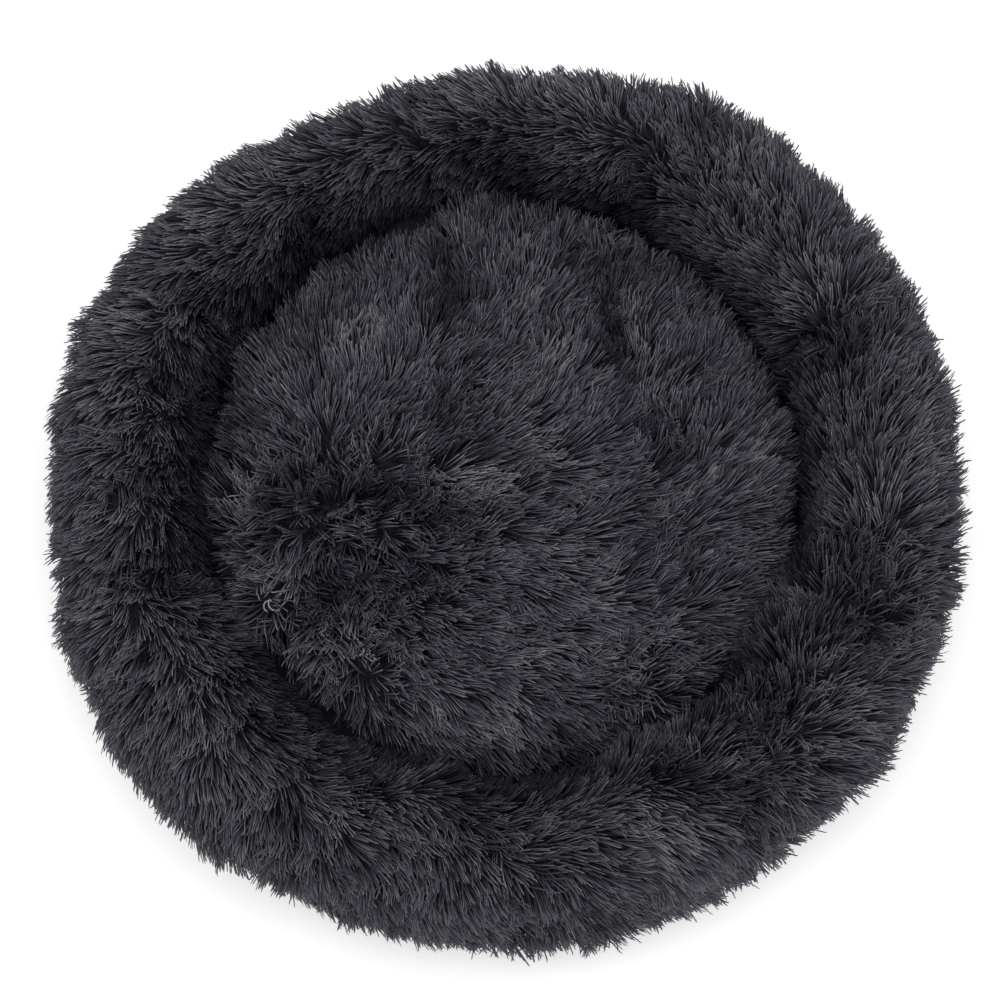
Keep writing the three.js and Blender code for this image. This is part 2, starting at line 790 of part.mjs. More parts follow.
const cushionFoot = finish(0x2f2e33, 0.85);
const topAt = (depth) => (theta) => crownShares.map((share) => topPoint(share, theta, depth));
const footAt = (depth) => (theta) => footShares.map((share) => footPoint(share, theta, depth));
add('cushion_top_panel', cushionLoft(topAt(0), topAt(pileDepth)), plush.clone(), cushion);
add('cushion_bottom_panel', cushionLoft(footAt(0), footAt(cushionCloth)), cushionFoot, cushion);
const fillTopAt = topAt(pileDepth + fitGap);
const fillFootAt = footAt(cushionCloth + fitGap);
add('cushion_filling', cushionLoft(fillTopAt, fillFootAt), fibre.clone(), cushion);

export default group;
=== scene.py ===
"""Looks of a round plush pet bed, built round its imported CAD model. All lengths are in metres."""

import logging
import math
from collections.abc import Callable, Iterable, Sequence
from dataclasses import dataclass, field, replace
from enum import Enum

import bmesh
import bpy
import numpy as np
from mathutils import Matrix, Vector
from mathutils.kdtree import KDTree

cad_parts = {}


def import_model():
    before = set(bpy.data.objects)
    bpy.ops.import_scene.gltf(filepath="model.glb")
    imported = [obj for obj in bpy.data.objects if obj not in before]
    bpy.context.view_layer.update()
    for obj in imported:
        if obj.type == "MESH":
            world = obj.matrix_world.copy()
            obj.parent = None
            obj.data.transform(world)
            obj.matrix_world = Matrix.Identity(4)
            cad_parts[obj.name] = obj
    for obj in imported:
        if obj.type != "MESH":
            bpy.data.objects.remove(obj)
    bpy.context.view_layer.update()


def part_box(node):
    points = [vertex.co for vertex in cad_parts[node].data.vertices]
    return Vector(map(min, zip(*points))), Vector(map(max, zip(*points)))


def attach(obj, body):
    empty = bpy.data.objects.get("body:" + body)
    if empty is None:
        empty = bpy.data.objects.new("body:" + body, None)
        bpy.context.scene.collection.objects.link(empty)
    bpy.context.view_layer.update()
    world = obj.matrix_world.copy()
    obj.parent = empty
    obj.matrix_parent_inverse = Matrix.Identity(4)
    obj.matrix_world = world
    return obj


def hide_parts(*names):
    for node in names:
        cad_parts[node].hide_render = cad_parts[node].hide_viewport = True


log = logging.getLogger("pet_bed")

Socket = bpy.types.NodeSocket
Point = tuple[float, float]

# Plan of the bed, as the CAD model has it
CREASES = (28, 67, 105, 153, 197, 237, 272, 310, 351)
CREASE_RADIUS = 0.243
CREASE_HEIGHT = 0.108
BASE_SEAM = 0.0224
FLOOR_TOP = 0.0082
FOOT_RADIUS = 0.25
HOLLOW = Vector((-0.002, 0.014, 0))
CUSHION_RADIUS = 0.187
CUSHION_SEAM = 0.048
# The zip: its window in degrees, its top and middle heights, its radius and how far it leans back
ZIP_FROM, ZIP_TO = 53.4, 126.6
ZIP_TOP = 0.0482
ZIP_MIDDLE = 0.03495
ZIP_RADIUS = 0.276
ZIP_TILT = 15
# Gap and thickness of the inner bag and of the plush's backing
LINER_GAP = 0.0005
LINER_CLOTH = 0.0006
BACKING_GAP = 0.0016
BACKING_CLOTH = 0.0012
# The strands' map: its name, which the export keeps, and how many shades lie side by side on it
MAP = "OFBake"
SHADES = 64
# The deepest dent that still changes the pile, and how fast the pile stands up in it, in degrees a metre
DEEPEST = 0.012
STAND_UP = 1200
UP = Vector((0, 0, 1))


# Small tools


def linear(colour: str) -> tuple[float, float, float, float]:
    """Turns a hex sRGB colour into Blender's linear one.

    Args:
        colour: six hex digits after a hash.

    Returns:
        The four linear channels, the last one being 1.
    """
    parts = [int(colour[i : i + 2], 16) / 255 for i in (1, 3, 5)]
    return (*(p / 12.92 if p <= 0.04045 else ((p + 0.055) / 1.055) ** 2.4 for p in parts), 1.0)


def unit(v: np.ndarray) -> np.ndarray:
    """Returns the vectors of the last axis at length one."""
    return v / np.maximum(np.linalg.norm(v, axis=-1, keepdims=True), 1e-9)


def dot(a: np.ndarray, b: np.ndarray) -> np.ndarray:
    """Returns the dot products along the last axis, which is kept."""
    return (a * b).sum(-1, keepdims=True)


def flat_on(v: np.ndarray, up: np.ndarray) -> np.ndarray:
    """Returns the part of each vector that lies along the surface with normal up."""
    return v - up * dot(v, up)


def bell(apart: np.ndarray, half: float) -> np.ndarray:
    """Returns 1 where the distance is nought, falling off smoothly past a half width."""
    return np.exp(-((apart / half) ** 2))


def angles(at: np.ndarray) -> np.ndarray:
    """Returns each point's angle about the vertical axis, in degrees from -180 to 180."""
    return np.degrees(np.arctan2(at[:, 1], at[:, 0]))


def outwards(at: np.ndarray) -> np.ndarray:
    """Returns the level unit vector away from the bed's axis at each point."""
    return unit(at * (1, 1, 0))


def from_hollow(at: np.ndarray) -> np.ndarray:
    """Returns the points as seen from the middle of the hollow."""
    return at - np.array(HOLLOW)


def heading(degrees: float) -> Vector:
    """Returns the level unit vector at that angle from +X."""
    return Vector((math.cos(math.radians(degrees)), math.sin(math.radians(degrees)), 0))


def angle_of(at: Vector) -> float:
    """Returns a point's angle about the bed's axis, in degrees from 0 to 360."""
    return math.degrees(math.atan2(at.y, at.x)) % 360


def to_stroke(plan: np.ndarray, start: np.ndarray, end: np.ndarray) -> np.ndarray:
    """Measures how far points lie from a stroke.

    Args:
        plan: x and y of each point.
        start: x and y of the stroke's start.
        end: x and y of its end.

    Returns:
        The distance of each point.
    """
    run = end - start
    along = np.clip((plan - start) @ run / max(run @ run, 1e-9), 0, 1)
    return np.linalg.norm(plan - start - along[:, None] * run, axis=1)


def smooth_noise(at: np.ndarray, size: float, seed: int) -> np.ndarray:
    """A gentle noise of place, made from a few sine waves in fixed random directions.

    Args:
        at: the points, one per row.
        size: about how far apart its hills are.
        seed: which noise it is.

    Returns:
        One value per point, mostly between -1 and 1.
    """
    rng = np.random.default_rng(seed)
    total = np.zeros(len(at))
    for _ in range(7):
        wave = unit(rng.normal(size=3)) * rng.uniform(0.7, 1.5) * math.tau / size
        total += np.sin(at @ wave + rng.uniform(0, math.tau))
    return total / 2.6


def drift(at: np.ndarray, waves: Sequence[tuple[float, float, int]]) -> np.ndarray:
    """Returns the sum of noises at each point, given as height, size and seed."""
    return sum(height * smooth_noise(at, size, seed) for height, size, seed in waves)


# Nodes and finishes


def add_node(
    tree: bpy.types.NodeTree,
    kind: str,
    values: dict | None = None,
    stops: Sequence[tuple[float, str]] = (),
    **settings: object,
) -> bpy.types.NodeOutputs:
    """Adds one node.

    Args:
        tree: the tree that it goes into.
        kind: the node's type, without the ShaderNode before it.
        values: what each input gets, by name or number: a socket is linked, anything else is set.
        stops: place and hex colour of each stop, on a colour ramp.
        settings: the node's own properties.

    Returns:
        The node's outputs.
    """
    node = tree.nodes.new(f"ShaderNode{kind}")
    for name, value in settings.items():
        setattr(node, name, value)
    for key, value in (values or {}).items():
        if isinstance(value, Socket):
            tree.links.new(value, node.inputs[key])
        else:
            node.inputs[key].default_value = value
    if stops:
        stripe = node.color_ramp.elements
        while len(stripe) < len(stops):
            stripe.new(0.5)
        for element, (place, colour) in zip(stripe, stops):
            element.position = place
            element.color = linear(colour)
    return node.outputs


def seen_rays(tree: bpy.types.NodeTree) -> Socket:
    """Tells the rays by which the camera sees from those that only carry light.

    Args:
        tree: the tree that the nodes go into.

    Returns:
        1 for what the camera sees straight, mirrored or through glass.
    """
    ray = add_node(tree, "LightPath")
    both = {0: ray["Is Glossy Ray"], 1: ray["Is Transmission Ray"]}
    mirrored = add_node(tree, "Math", both, operation="MAXIMUM")[0]
    return add_node(tree, "Math", {0: ray["Is Camera Ray"], 1: mirrored}, operation="MAXIMUM")[0]


@dataclass(frozen=True)
class Finish:
    """What every finish has in common.

    Attributes:
        colour: its main colour, in hex sRGB.
        roughness: how dull it is.
        sheen: how much its loose fibres catch the light.
        sheen_roughness: how widely they spread it.
    """

    colour: str
    roughness: float = 0.8
    sheen: float = 0.0
    sheen_roughness: float = 0.4

    def material(self, name: str) -> bpy.types.Material:
        """Makes the material.

        Args:
            name: its name.

        Returns:
            The material, with the uniform values set and the pattern drawn.
        """
        made = bpy.data.materials.new(name)
        made.use_nodes = True
        tree = made.node_tree
        shader = tree.nodes["Principled BSDF"]
        shader.inputs["Base Color"].default_value = linear(self.colour)
        shader.inputs["Roughness"].default_value = self.roughness
        shader.inputs["Sheen Weight"].default_value = self.sheen
        shader.inputs["Sheen Roughness"].default_value = self.sheen_roughness
        self.draw(tree, shader)
        made.diffuse_color = linear(self.colour)
        return made

    def draw(self, tree: bpy.types.NodeTree, shader: bpy.types.Node) -> None:
        """Draws the finish's pattern. A bare finish has none."""


@dataclass(frozen=True)
class PaperFinish(Finish):
    """White studio paper, a little lit from behind for the camera only.

    Attributes:
        glow: how strongly it is lit from behind.
    """

    glow: float = 0.3

    def draw(self, tree: bpy.types.NodeTree, shader: bpy.types.Node) -> None:
        """Lifts the paper to white where no shadow falls.

        Args:
            tree: the material's nodes.
            shader: its Principled shader.
        """
        shader.inputs["Emission Color"].default_value = linear("#ffffff")
        glow = add_node(tree, "Math", {0: seen_rays(tree), 1: self.glow}, operation="MULTIPLY")[0]
        tree.links.new(glow, shader.inputs["Emission Strength"])


@dataclass(frozen=True)
class PileFinish(Finish):
    """Long acrylic pile. Its map runs across the strands' shades and from root to tip.

    Attributes:
        stops: the lightest strand's colour from root to tip, darker at the root as painted shade.
        tones: how much of that colour a strand has, from the darkest to the lightest.
        edge: how much of it is left along a strand's edges, a painted shade.
        middle: how much there is along its middle, a painted highlight.
        specular: how much a strand mirrors.
    """

    stops: tuple[tuple[float, str], ...] = ((0, "#000000"), (1, "#ffffff"))
    tones: tuple[tuple[float, str], ...] = ((0, "#55515f"), (0.5, "#bab9c1"), (1, "#fffefb"))
    edge: float = 0.55
    middle: float = 1.2
    specular: float = 0.1

    def draw(self, tree: bpy.types.NodeTree, shader: bpy.types.Node) -> None:
        """Shades each strand by its own tone and from root to tip, with painted shade at the root and along
        its edges and a painted highlight along its middle.

        Args:
            tree: the material's nodes.
            shader: its Principled shader.
        """
        place = add_node(tree, "UVMap", uv_map=MAP)["UV"]
        across, along, _ = add_node(tree, "SeparateXYZ", {"Vector": place})
        strands = add_node(tree, "Math", {0: across, 1: SHADES}, operation="MULTIPLY")[0]
        inwards = add_node(tree, "Math", {0: strands, 1: 0.5}, operation="PINGPONG")[0]
        # Painted shade along each strand's edges and a painted highlight along its middle, as on a round
        # fibre
        limits = {"From Min": 0.08, "From Max": 0.45, "To Min": self.edge, "To Max": self.middle}
        rounding = add_node(tree, "MapRange", {"Value": inwards, **limits})["Result"]
        tone = add_node(tree, "ValToRGB", {"Fac": across}, stops=self.tones)["Color"]
        # From root to tip: the dark root is painted shade deep in the pile
        shade = add_node(tree, "ValToRGB", {"Fac": along}, stops=self.stops)["Color"]
        for part in (tone, rounding):
            shade = add_node(tree, "VectorMath", {0: shade, 1: part}, operation="MULTIPLY")["Vector"]
        tree.links.new(shade, shader.inputs["Base Color"])
        shader.inputs["Specular IOR Level"].default_value = self.specular


class Weave(Enum):
    """How a cloth is made."""

    PLAIN = "plain"
    HERRINGBONE = "herringbone"
    SPUNBONDED = "spunbonded"


class Lay(Enum):
    """How a cloth's threads lie: flat on the floor, or round the bed's axis."""

    FLAT = "flat"
    ROUND = "round"


@dataclass(frozen=True)
class ClothFinish(Finish):
    """A plain cloth.

    Attributes:
        weave: how it is made.
        lay: how its threads lie.
        pitch: the distance from thread to thread.
        depth: the height of a thread.
        cloud: how far apart its faint changes of tone are, as hills to the metre.
    """

    weave: Weave = Weave.PLAIN
    lay: Lay = Lay.FLAT
    pitch: float = 0.0008
    depth: float = 0.0002
    cloud: float = 60.0

    def threads(self, tree: bpy.types.NodeTree, place: Socket) -> tuple[Socket, Socket]:
        """Measures along the threads.

        Args:
            tree: the material's nodes.
            place: where the surface is.

        Returns:
            The distances along the weft and the warp, in metres.
        """
        x, y, z = add_node(tree, "SeparateXYZ", {"Vector": place})
        if self.lay is Lay.FLAT:
            return x, y
        angle = add_node(tree, "Math", {0: y, 1: x}, operation="ARCTAN2")[0]
        return add_node(tree, "Math", {0: angle, 1: ZIP_RADIUS}, operation="MULTIPLY")[0], z

    def height(self, tree: bpy.types.NodeTree, place: Socket) -> Socket:
        """Draws the height of the weave.

        Args:
            tree: the material's nodes.
            place: where the surface is.

        Returns:
            The height, as a share of a thread's.
        """
        if self.weave is Weave.SPUNBONDED:
            spots = add_node(tree, "TexVoronoi", {"Vector": place, "Scale": 1 / (3 * self.pitch)})
            return add_node(tree, "Math", {0: spots["Distance"], 1: 0.6}, operation="MINIMUM")[0]
        ways = self.threads(tree, place)
        turns = math.pi / self.pitch
        if self.weave is Weave.HERRINGBONE:
            zigzag = add_node(tree, "Math", {0: ways[1], 1: 6 * self.pitch}, operation="PINGPONG")[0]
            slant = add_node(tree, "Math", {0: ways[0], 1: zigzag}, operation="ADD")[0]
            ribs = add_node(tree, "Math", {0: slant, 1: 2 * turns}, operation="MULTIPLY")[0]
            return add_node(tree, "Math", {0: ribs}, operation="SINE")[0]
        waves = {}
        for number, way in enumerate(ways):
            turned = add_node(tree, "Math", {0: way, 1: turns}, operation="MULTIPLY")[0]
            waves[number] = add_node(tree, "Math", {0: turned}, operation="SINE")[0]
        return add_node(tree, "Math", waves, operation="MULTIPLY")[0]

    def draw(self, tree: bpy.types.NodeTree, shader: bpy.types.Node) -> None:
        """Weaves the threads as a bump and lets them vary a little in tone.

        Args:
            tree: the material's nodes.
            shader: its Principled shader.
        """
        place = add_node(tree, "TexCoord")["Object"]
        height = self.height(tree, place)
        faint = add_node(tree, "Math", {0: height, 1: 0.12}, operation="MULTIPLY")[0]
        cloud = add_node(tree, "TexNoise", {"Vector": place, "Scale": self.cloud, "Detail": 4.0})["Fac"]
        mixed = add_node(tree, "Math", {0: faint, 1: cloud}, operation="ADD")[0]
        limits = {"From Min": 0.2, "From Max": 0.8, "To Min": 0.75, "To Max": 1.25}
        tone = add_node(tree, "MapRange", {"Value": mixed, **limits})["Result"]
        parts = {0: linear(self.colour)[:3], 1: tone}
        shade = add_node(tree, "VectorMath", parts, operation="MULTIPLY")["Vector"]
        tree.links.new(shade, shader.inputs["Base Color"])
        bump = add_node(tree, "Bump", {"Height": height, "Distance": self.depth, "Strength": 0.8})
        tree.links.new(bump["Normal"], shader.inputs["Normal"])


@dataclass(frozen=True)
class FibreFinish(Finish):
    """Loose hollow fibre, or spun thread.

    Attributes:
        curl: the size of its curls.
        shade: how much of its colour is left between the curls.
    """

    curl: float = 0.004
    shade: float = 0.86

    def draw(self, tree: bpy.types.NodeTree, shader: bpy.types.Node) -> None:
        """Lays fine curled fibres over the surface.

        Args:
            tree: the material's nodes.
            shader: its Principled shader.
        """
        place = add_node(tree, "TexCoord")["Object"]
        noise = {"Vector": place, "Scale": 1 / self.curl, "Detail": 6.0, "Distortion": 2.5}
        curls = add_node(tree, "TexNoise", noise)["Fac"]
        parts = (int(int(self.colour[i : i + 2], 16) * self.shade) for i in (1, 3, 5))
        stops = ((0.3, "#{:02x}{:02x}{:02x}".format(*parts)), (0.7, self.colour))
        shade = add_node(tree, "ValToRGB", {"Fac": curls}, stops=stops)["Color"]
        tree.links.new(shade, shader.inputs["Base Color"])
        bump = add_node(tree, "Bump", {"Height": curls, "Distance": self.curl / 4, "Strength": 0.7})
        tree.links.new(bump["Normal"], shader.inputs["Normal"])


@dataclass(frozen=True)
class MouldedFinish(Finish):
    """Moulded plastic or rubber with a fine spark-eroded grain, or plated castings.

    Attributes:
        grain: the size of the grain.
        metal: 1 for the plated metal parts.
        wear: how much duller or glossier it is in places.
    """

    grain: float = 0.0006
    metal: float = 0.0
    wear: float = 0.12

    def draw(self, tree: bpy.types.NodeTree, shader: bpy.types.Node) -> None:
        """Adds the grain, and wear that changes the gloss.

        Args:
            tree: the material's nodes.
            shader: its Principled shader.
        """
        shader.inputs["Metallic"].default_value = self.metal
        place = add_node(tree, "TexCoord")["Object"]
        fine = {"Vector": place, "Scale": 1 / self.grain, "Detail": 3.0}
        specks = add_node(tree, "TexNoise", fine)["Fac"]
        coarse = {"Vector": place, "Scale": 0.12 / self.grain, "Detail": 2.0}
        rubbed = add_node(tree, "TexNoise", coarse)["Fac"]
        limits = {"To Min": self.roughness - self.wear, "To Max": self.roughness + self.wear}
        gloss = add_node(tree, "MapRange", {"Value": rubbed, **limits})["Result"]
        tree.links.new(gloss, shader.inputs["Roughness"])
        bump = add_node(tree, "Bump", {"Height": specks, "Distance": 0.00005, "Strength": 0.5})
        tree.links.new(bump["Normal"], shader.inputs["Normal"])


# Acrylic faux fur dyed charcoal: near black at the root, where it is painted shade, and greyer at the tips.
RING_PILE = PileFinish(
    "#2c2b31",
    roughness=0.6,
    stops=((0.0, "#3b3a45"), (0.3, "#4a4751"), (0.65, "#64626a"), (1.0, "#8f8e94")),
)
CUSHION_PILE = PileFinish(
    "#323138",
    roughness=0.6,
    stops=((0.0, "#3c3b47"), (0.3, "#4e4b57"), (0.65, "#6a6871"), (1.0, "#959399")),
)
# Knitted backing that the pile is locked into, a stitch to the millimetre: dark and quite dull
BACKING = ClothFinish("#15141a", roughness=0.95, pitch=0.001, depth=0.0003)
# Spunbonded polypropylene, with weld points every 2 mm or so: dull white, finely pebbled
LINER = ClothFinish("#dcdad5", roughness=0.85, weave=Weave.SPUNBONDED, pitch=0.0007)
# Crimped hollow polyester fibre: soft white curls a few millimetres across
FIBRE = FibreFinish("#f1f0ec", roughness=1.0, sheen=0.3)
# Coated 600-denier oxford, two threads side by side: a square weave under a low sheen
OXFORD = ClothFinish("#232327", roughness=0.6, pitch=0.0009, depth=0.00025)
OXFORD_BAND = replace(OXFORD, lay=Lay.ROUND)
# Plain woven polyester lining: fine, smooth threads
LINING = ClothFinish("#2b2a30", roughness=0.7, pitch=0.0005, depth=0.00012)
# Herringbone woven polyester tape: slanted ribs that turn every few threads
TAPE = ClothFinish("#222226", roughness=0.75, weave=Weave.HERRINGBONE, lay=Lay.ROUND, pitch=0.0005)
# Moulded rubber: black, dull and finely grained
RUBBER = MouldedFinish("#17171a", roughness=0.7, grain=0.0008)
# Moulded acetal: slightly glossy where it is rubbed
ACETAL = MouldedFinish("#1d1d21", roughness=0.42)
# Die-cast zinc plated in black nickel: a dark metal with soft highlights
ALLOY = MouldedFinish("#46464b", roughness=0.32, metal=1.0)
# Spun polyester thread: pale in the tufts, where its ends show, and dark in the seams
THREAD = FibreFinish("#a9a2a0", roughness=0.7, sheen=0.4, curl=0.0008)
DARK_THREAD = FibreFinish("#34343a", roughness=0.7, sheen=0.3, curl=0.0008)
# Matt studio paper: white, with the bed's soft shadow on it
PAPER = PaperFinish("#f7f7f7", roughness=0.9)


# Pieces and meshes


def linked(name: str, data: bpy.types.ID) -> bpy.types.Object:
    """Makes an object and links it to the scene.

    Args:
        name: its name.
        data: its mesh, lamp or camera.

    Returns:
        The object.
    """
    made = bpy.data.objects.new(name, data)
    bpy.context.scene.collection.objects.link(made)
    return made


def piece(
    name: str,
    mesh: bpy.types.Mesh,
    body: str,
    material: bpy.types.Material,
    replaces: Iterable[str] = (),
) -> bpy.types.Object:
    """Links a mesh as a piece of the object.

    Args:
        name: the piece's name.
        mesh: its mesh, in the row frame.
        body: the CAD body that it rides on.
        material: its material.
        replaces: the CAD nodes that it stands for.

    Returns:
        The piece.
    """
    made = linked(name, mesh)
    mesh.name = name
    mesh.materials.clear()
    mesh.materials.append(material)
    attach(made, body)
    if replaces:
        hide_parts(*replaces)
    log.info("%s: %d faces", name, len(mesh.polygons))
    return made


def copy_of(node: str) -> bpy.types.Object:
    """Returns a linked copy of a CAD node, with a mesh of its own."""
    return linked(node, bpy.data.objects[node].data.copy())


def modify(made: bpy.types.Object, kind: str, **settings: object) -> None:
    """Adds a modifier.

    Args:
        made: the object.
        kind: the modifier's type.
        settings: its own properties.
    """
    modifier = made.modifiers.new(kind.lower(), kind)
    for name, value in settings.items():
        setattr(modifier, name, value)


def applied(made: bpy.types.Object) -> bpy.types.Mesh:
    """Applies an object's modifiers.

    Args:
        made: the object, which is deleted.

    Returns:
        The mesh that it has after them.
    """
    graph = bpy.context.evaluated_depsgraph_get()
    mesh = bpy.data.meshes.new_from_object(made.evaluated_get(graph))
    bpy.data.objects.remove(made)
    return mesh


def rows_of(items: bpy.types.bpy_prop_collection, name: str) -> np.ndarray:
    """Reads a vector of every item.

    Args:
        items: the mesh's vertices or their normals.
        name: the vector's name.

    Returns:
        The vectors, one per row.
    """
    at = np.empty(len(items) * 3, np.float32)
    items.foreach_get(name, at)
    return at.reshape(-1, 3).astype(float)


def points_of(mesh: bpy.types.Mesh) -> np.ndarray:
    """Returns the vertices, one per row."""
    return rows_of(mesh.vertices, "co")


def normals_of(mesh: bpy.types.Mesh) -> np.ndarray:
    """Returns the vertex normals, one per row."""
    return rows_of(mesh.vertex_normals, "vector")


def moved(mesh: bpy.types.Mesh, at: np.ndarray) -> bpy.types.Mesh:
    """Moves a mesh's vertices.

    Args:
        mesh: the mesh.
        at: their new places, one per row.

    Returns:
        The same mesh.
    """
    mesh.vertices.foreach_set("co", at.astype(np.float32).ravel())
    mesh.update()
    return mesh


def shell(mesh: bpy.types.Mesh, gap: float, cloth: float, low: float = 0.0) -> bmesh.types.BMesh:
    """Lifts a copy of a surface off itself, ready to be cut and given its thickness.

    Args:
        mesh: the closed surface.
        gap: how far outside it the cloth's inner face lies.
        cloth: the cloth's thickness.
        low: the lowest that the cloth may reach.

    Returns:
        The cloth's outer face.
    """
    at = points_of(mesh) + normals_of(mesh) * (gap + cloth)
    at[:, 2] = np.maximum(at[:, 2], low)
    bm = bmesh.new()
    bm.from_mesh(mesh)
    for vert, place in zip(bm.verts, at):
        vert.co = place
    return bm


def split_at(bm: bmesh.types.BMesh, place: Vector, normal: Vector, clear: bool = False) -> None:
    """Cuts a mesh by a plane.

    Args:
        bm: the mesh.
        place: a point of the plane.
        normal: the plane's normal.
        clear: whether what lies on the normal's side goes.
    """
    every = [*bm.verts, *bm.edges, *bm.faces]
    bmesh.ops.bisect_plane(bm, geom=every, plane_co=place, plane_no=normal, clear_outer=clear)


def drop_faces(bm: bmesh.types.BMesh, test: Callable[[bmesh.types.BMFace, Vector], bool]) -> None:
    """Deletes the faces that pass a test of the face and its middle."""
    gone = [face for face in bm.faces if test(face, face.calc_center_median())]
    bmesh.ops.delete(bm, geom=gone, context="FACES")


def ground_of(bm: bmesh.types.BMesh) -> bpy.types.Mesh:
    """Copies a cloth's outer face as a mesh for pile to grow on.

    Args:
        bm: the face, which is kept.

    Returns:
        The mesh.
    """
    ground = bpy.data.meshes.new("ground")
    bm.to_mesh(ground)
    return ground


def meshed(bm: bmesh.types.BMesh, smooth: bool = True) -> bpy.types.Mesh:
    """Turns a bmesh into a mesh.

    Args:
        bm: the bmesh, which is freed.
        smooth: whether it is shaded smooth.

    Returns:
        The mesh.
    """
    bm.normal_update()
    mesh = bpy.data.meshes.new("made")
    bm.to_mesh(mesh)
    bm.free()
    if smooth:
        mesh.shade_smooth()
    return mesh


def thickened(bm: bmesh.types.BMesh, cloth: float) -> bpy.types.Mesh:
    """Gives a cloth its thickness, inwards.

    Args:
        bm: the cloth's outer face, which is freed.
        cloth: its thickness.

    Returns:
        The cloth, shaded smooth.
    """
    made = linked("cloth", meshed(bm, smooth=False))
    modify(made, "SOLIDIFY", thickness=cloth, offset=-1)
    mesh = applied(made)
    mesh.shade_smooth()
    return mesh


def lathe(
    profile: Sequence[Point],
    start: float = 0.0,
    sweep: float = 360.0,
    steps: int = 180,
    centre: Vector = Vector(),
) -> bmesh.types.BMesh:
    """Turns a profile about the vertical.

    Args:
        profile: radius and height of its points.
        start: the angle that it starts at, in degrees.
        sweep: how far it turns.
        steps: how many steps it takes.
        centre: a point of the axis.

    Returns:
        The turned surface, facing outwards.
    """
    bm = bmesh.new()
    verts = [bm.verts.new(centre + heading(start) * r + UP * z) for r, z in profile]
    edges = [bm.edges.new(pair) for pair in zip(verts, verts[1:])]
    bmesh.ops.spin(
        bm,
        geom=[*verts, *edges],
        cent=centre,
        axis=UP,
        angle=math.radians(sweep),
        steps=steps,
        use_merge=sweep == 360,
    )
    bmesh.ops.remove_doubles(bm, verts=bm.verts, dist=0.00001)
    bmesh.ops.recalc_face_normals(bm, faces=bm.faces)
    return bm


def ruffled(
    bm: bmesh.types.BMesh, cuts: int, height: float, size: float, seed: int, under: float = 1.0
) -> bmesh.types.BMesh:
    """Divides the long edges of a disc and lets it lie a little uneven.

    Args:
        bm: the disc.
        cuts: how often each long edge is cut.
        height: how high its hills are.
        size: how far apart they are.
        seed: which noise they follow.
        under: the share of it that the lower face has.

    Returns:
        The same disc.
    """
    long = [edge for edge in bm.edges if edge.calc_length() > 0.05]
    bmesh.ops.subdivide_edges(bm, edges=long, cuts=cuts)
    at = np.array([vert.co for vert in bm.verts])
    middle = (at[:, 2].min() + at[:, 2].max()) / 2
    for vert, hill in zip(bm.verts, smooth_noise(at, size, seed)):
        vert.co.z += height * hill * (under if vert.co.z < middle else 1)
    return bm


def stitches(places: Iterable[tuple[Vector, Vector, Vector]], length: float, width: float) -> bpy.types.Mesh:
    """Makes a row of stitches.

    Args:
        places: for each stitch its middle, the way it runs and the way out of the cloth.
        length: a stitch's length.
        width: its width.

    Returns:
        The stitches as one mesh.
    """
    bm = bmesh.new()
    size = Matrix.Diagonal((length, width, width * 0.6, 1))
    for middle, run, out in places:
        turn = Matrix((run, out.cross(run), out)).transposed().to_4x4()
        place = Matrix.Translation(middle) @ turn @ size
        bmesh.ops.create_icosphere(bm, subdivisions=1, radius=0.5, matrix=place)
    return meshed(bm)


def bevelled(node: str, width: float, segments: int = 2) -> bpy.types.Mesh:
    """Copies a hard CAD node with its sharp edges rounded.

    Args:
        node: the node's name.
        width: how wide the rounding is.
        segments: how many steps it has.

    Returns:
        The rounded mesh.
    """
    made = copy_of(node)
    modify(made, "WELD", merge_threshold=0.000005)
    sharp = math.radians(35)
    modify(made, "BEVEL", width=width, segments=segments, angle_limit=sharp, harden_normals=True)
    return applied(made)


@dataclass(frozen=True)
class Padding:
    """A stuffed body: a CAD filling, remeshed and blown up as cloth between its seams.

    Attributes:
        node: the CAD node.
        voxel: the size of the new faces.
        seams: how firmly each point is held, from its place.
        pressure: how hard it is blown up.
        slack: how much smaller it starts.
        cap: how far a point may end from the CAD body.
        frames: how many frames it is blown up for.
    """

    node: str
    voxel: float
    seams: Callable[[np.ndarray], np.ndarray]
    pressure: float = 4
    slack: float = 0.003
    cap: float = 0.0025
    frames: int = 20

    def surface(self) -> bpy.types.Mesh:
        """Makes the body's surface.

        Returns:
            The closed mesh, in the row frame.
        """
        made = copy_of(self.node)
        modify(made, "REMESH", voxel_size=self.voxel)
        modify(made, "SMOOTH", iterations=6)
        mesh = applied(made)
        start, up = points_of(mesh), normals_of(mesh)
        floor = start[:, 2].min()
        small = start - up * self.slack
        small[:, 2] = np.maximum(small[:, 2], floor)
        blown = self.blow(moved(mesh, small))
        full = self.slack - np.median(dot(blown - small, up))
        shift = blown + up * full - start
        size = np.linalg.norm(shift, axis=1, keepdims=True)
        at = start + shift * np.minimum(1, self.cap / np.maximum(size, 1e-9))
        at[:, 2] = np.maximum(at[:, 2], floor)
        log.info("%s: %d points, filled out by %.1f mm", self.node, len(at), 1000 * full)
        return moved(mesh, at)

    def blow(self, mesh: bpy.types.Mesh) -> np.ndarray:
        """Blows a mesh up as cloth.

        Args:
            mesh: the slack body.

        Returns:
            Where its points end.
        """
        made = linked("blown", mesh.copy())
        held = made.vertex_groups.new(name="seams")
        for index, weight in enumerate(self.seams(points_of(mesh))):
            held.add([index], float(weight), "REPLACE")
        cloth = made.modifiers.new("cloth", "CLOTH")
        cloth.settings.use_pressure = True
        cloth.settings.uniform_pressure_force = self.pressure
        cloth.settings.effector_weights.gravity = 0
        cloth.settings.vertex_group_mass = held.name
        cloth.collision_settings.use_collision = False
        for frame in range(1, self.frames + 1):
            bpy.context.scene.frame_set(frame)
        end = points_of(applied(made))
        bpy.context.scene.frame_set(1)
        return end


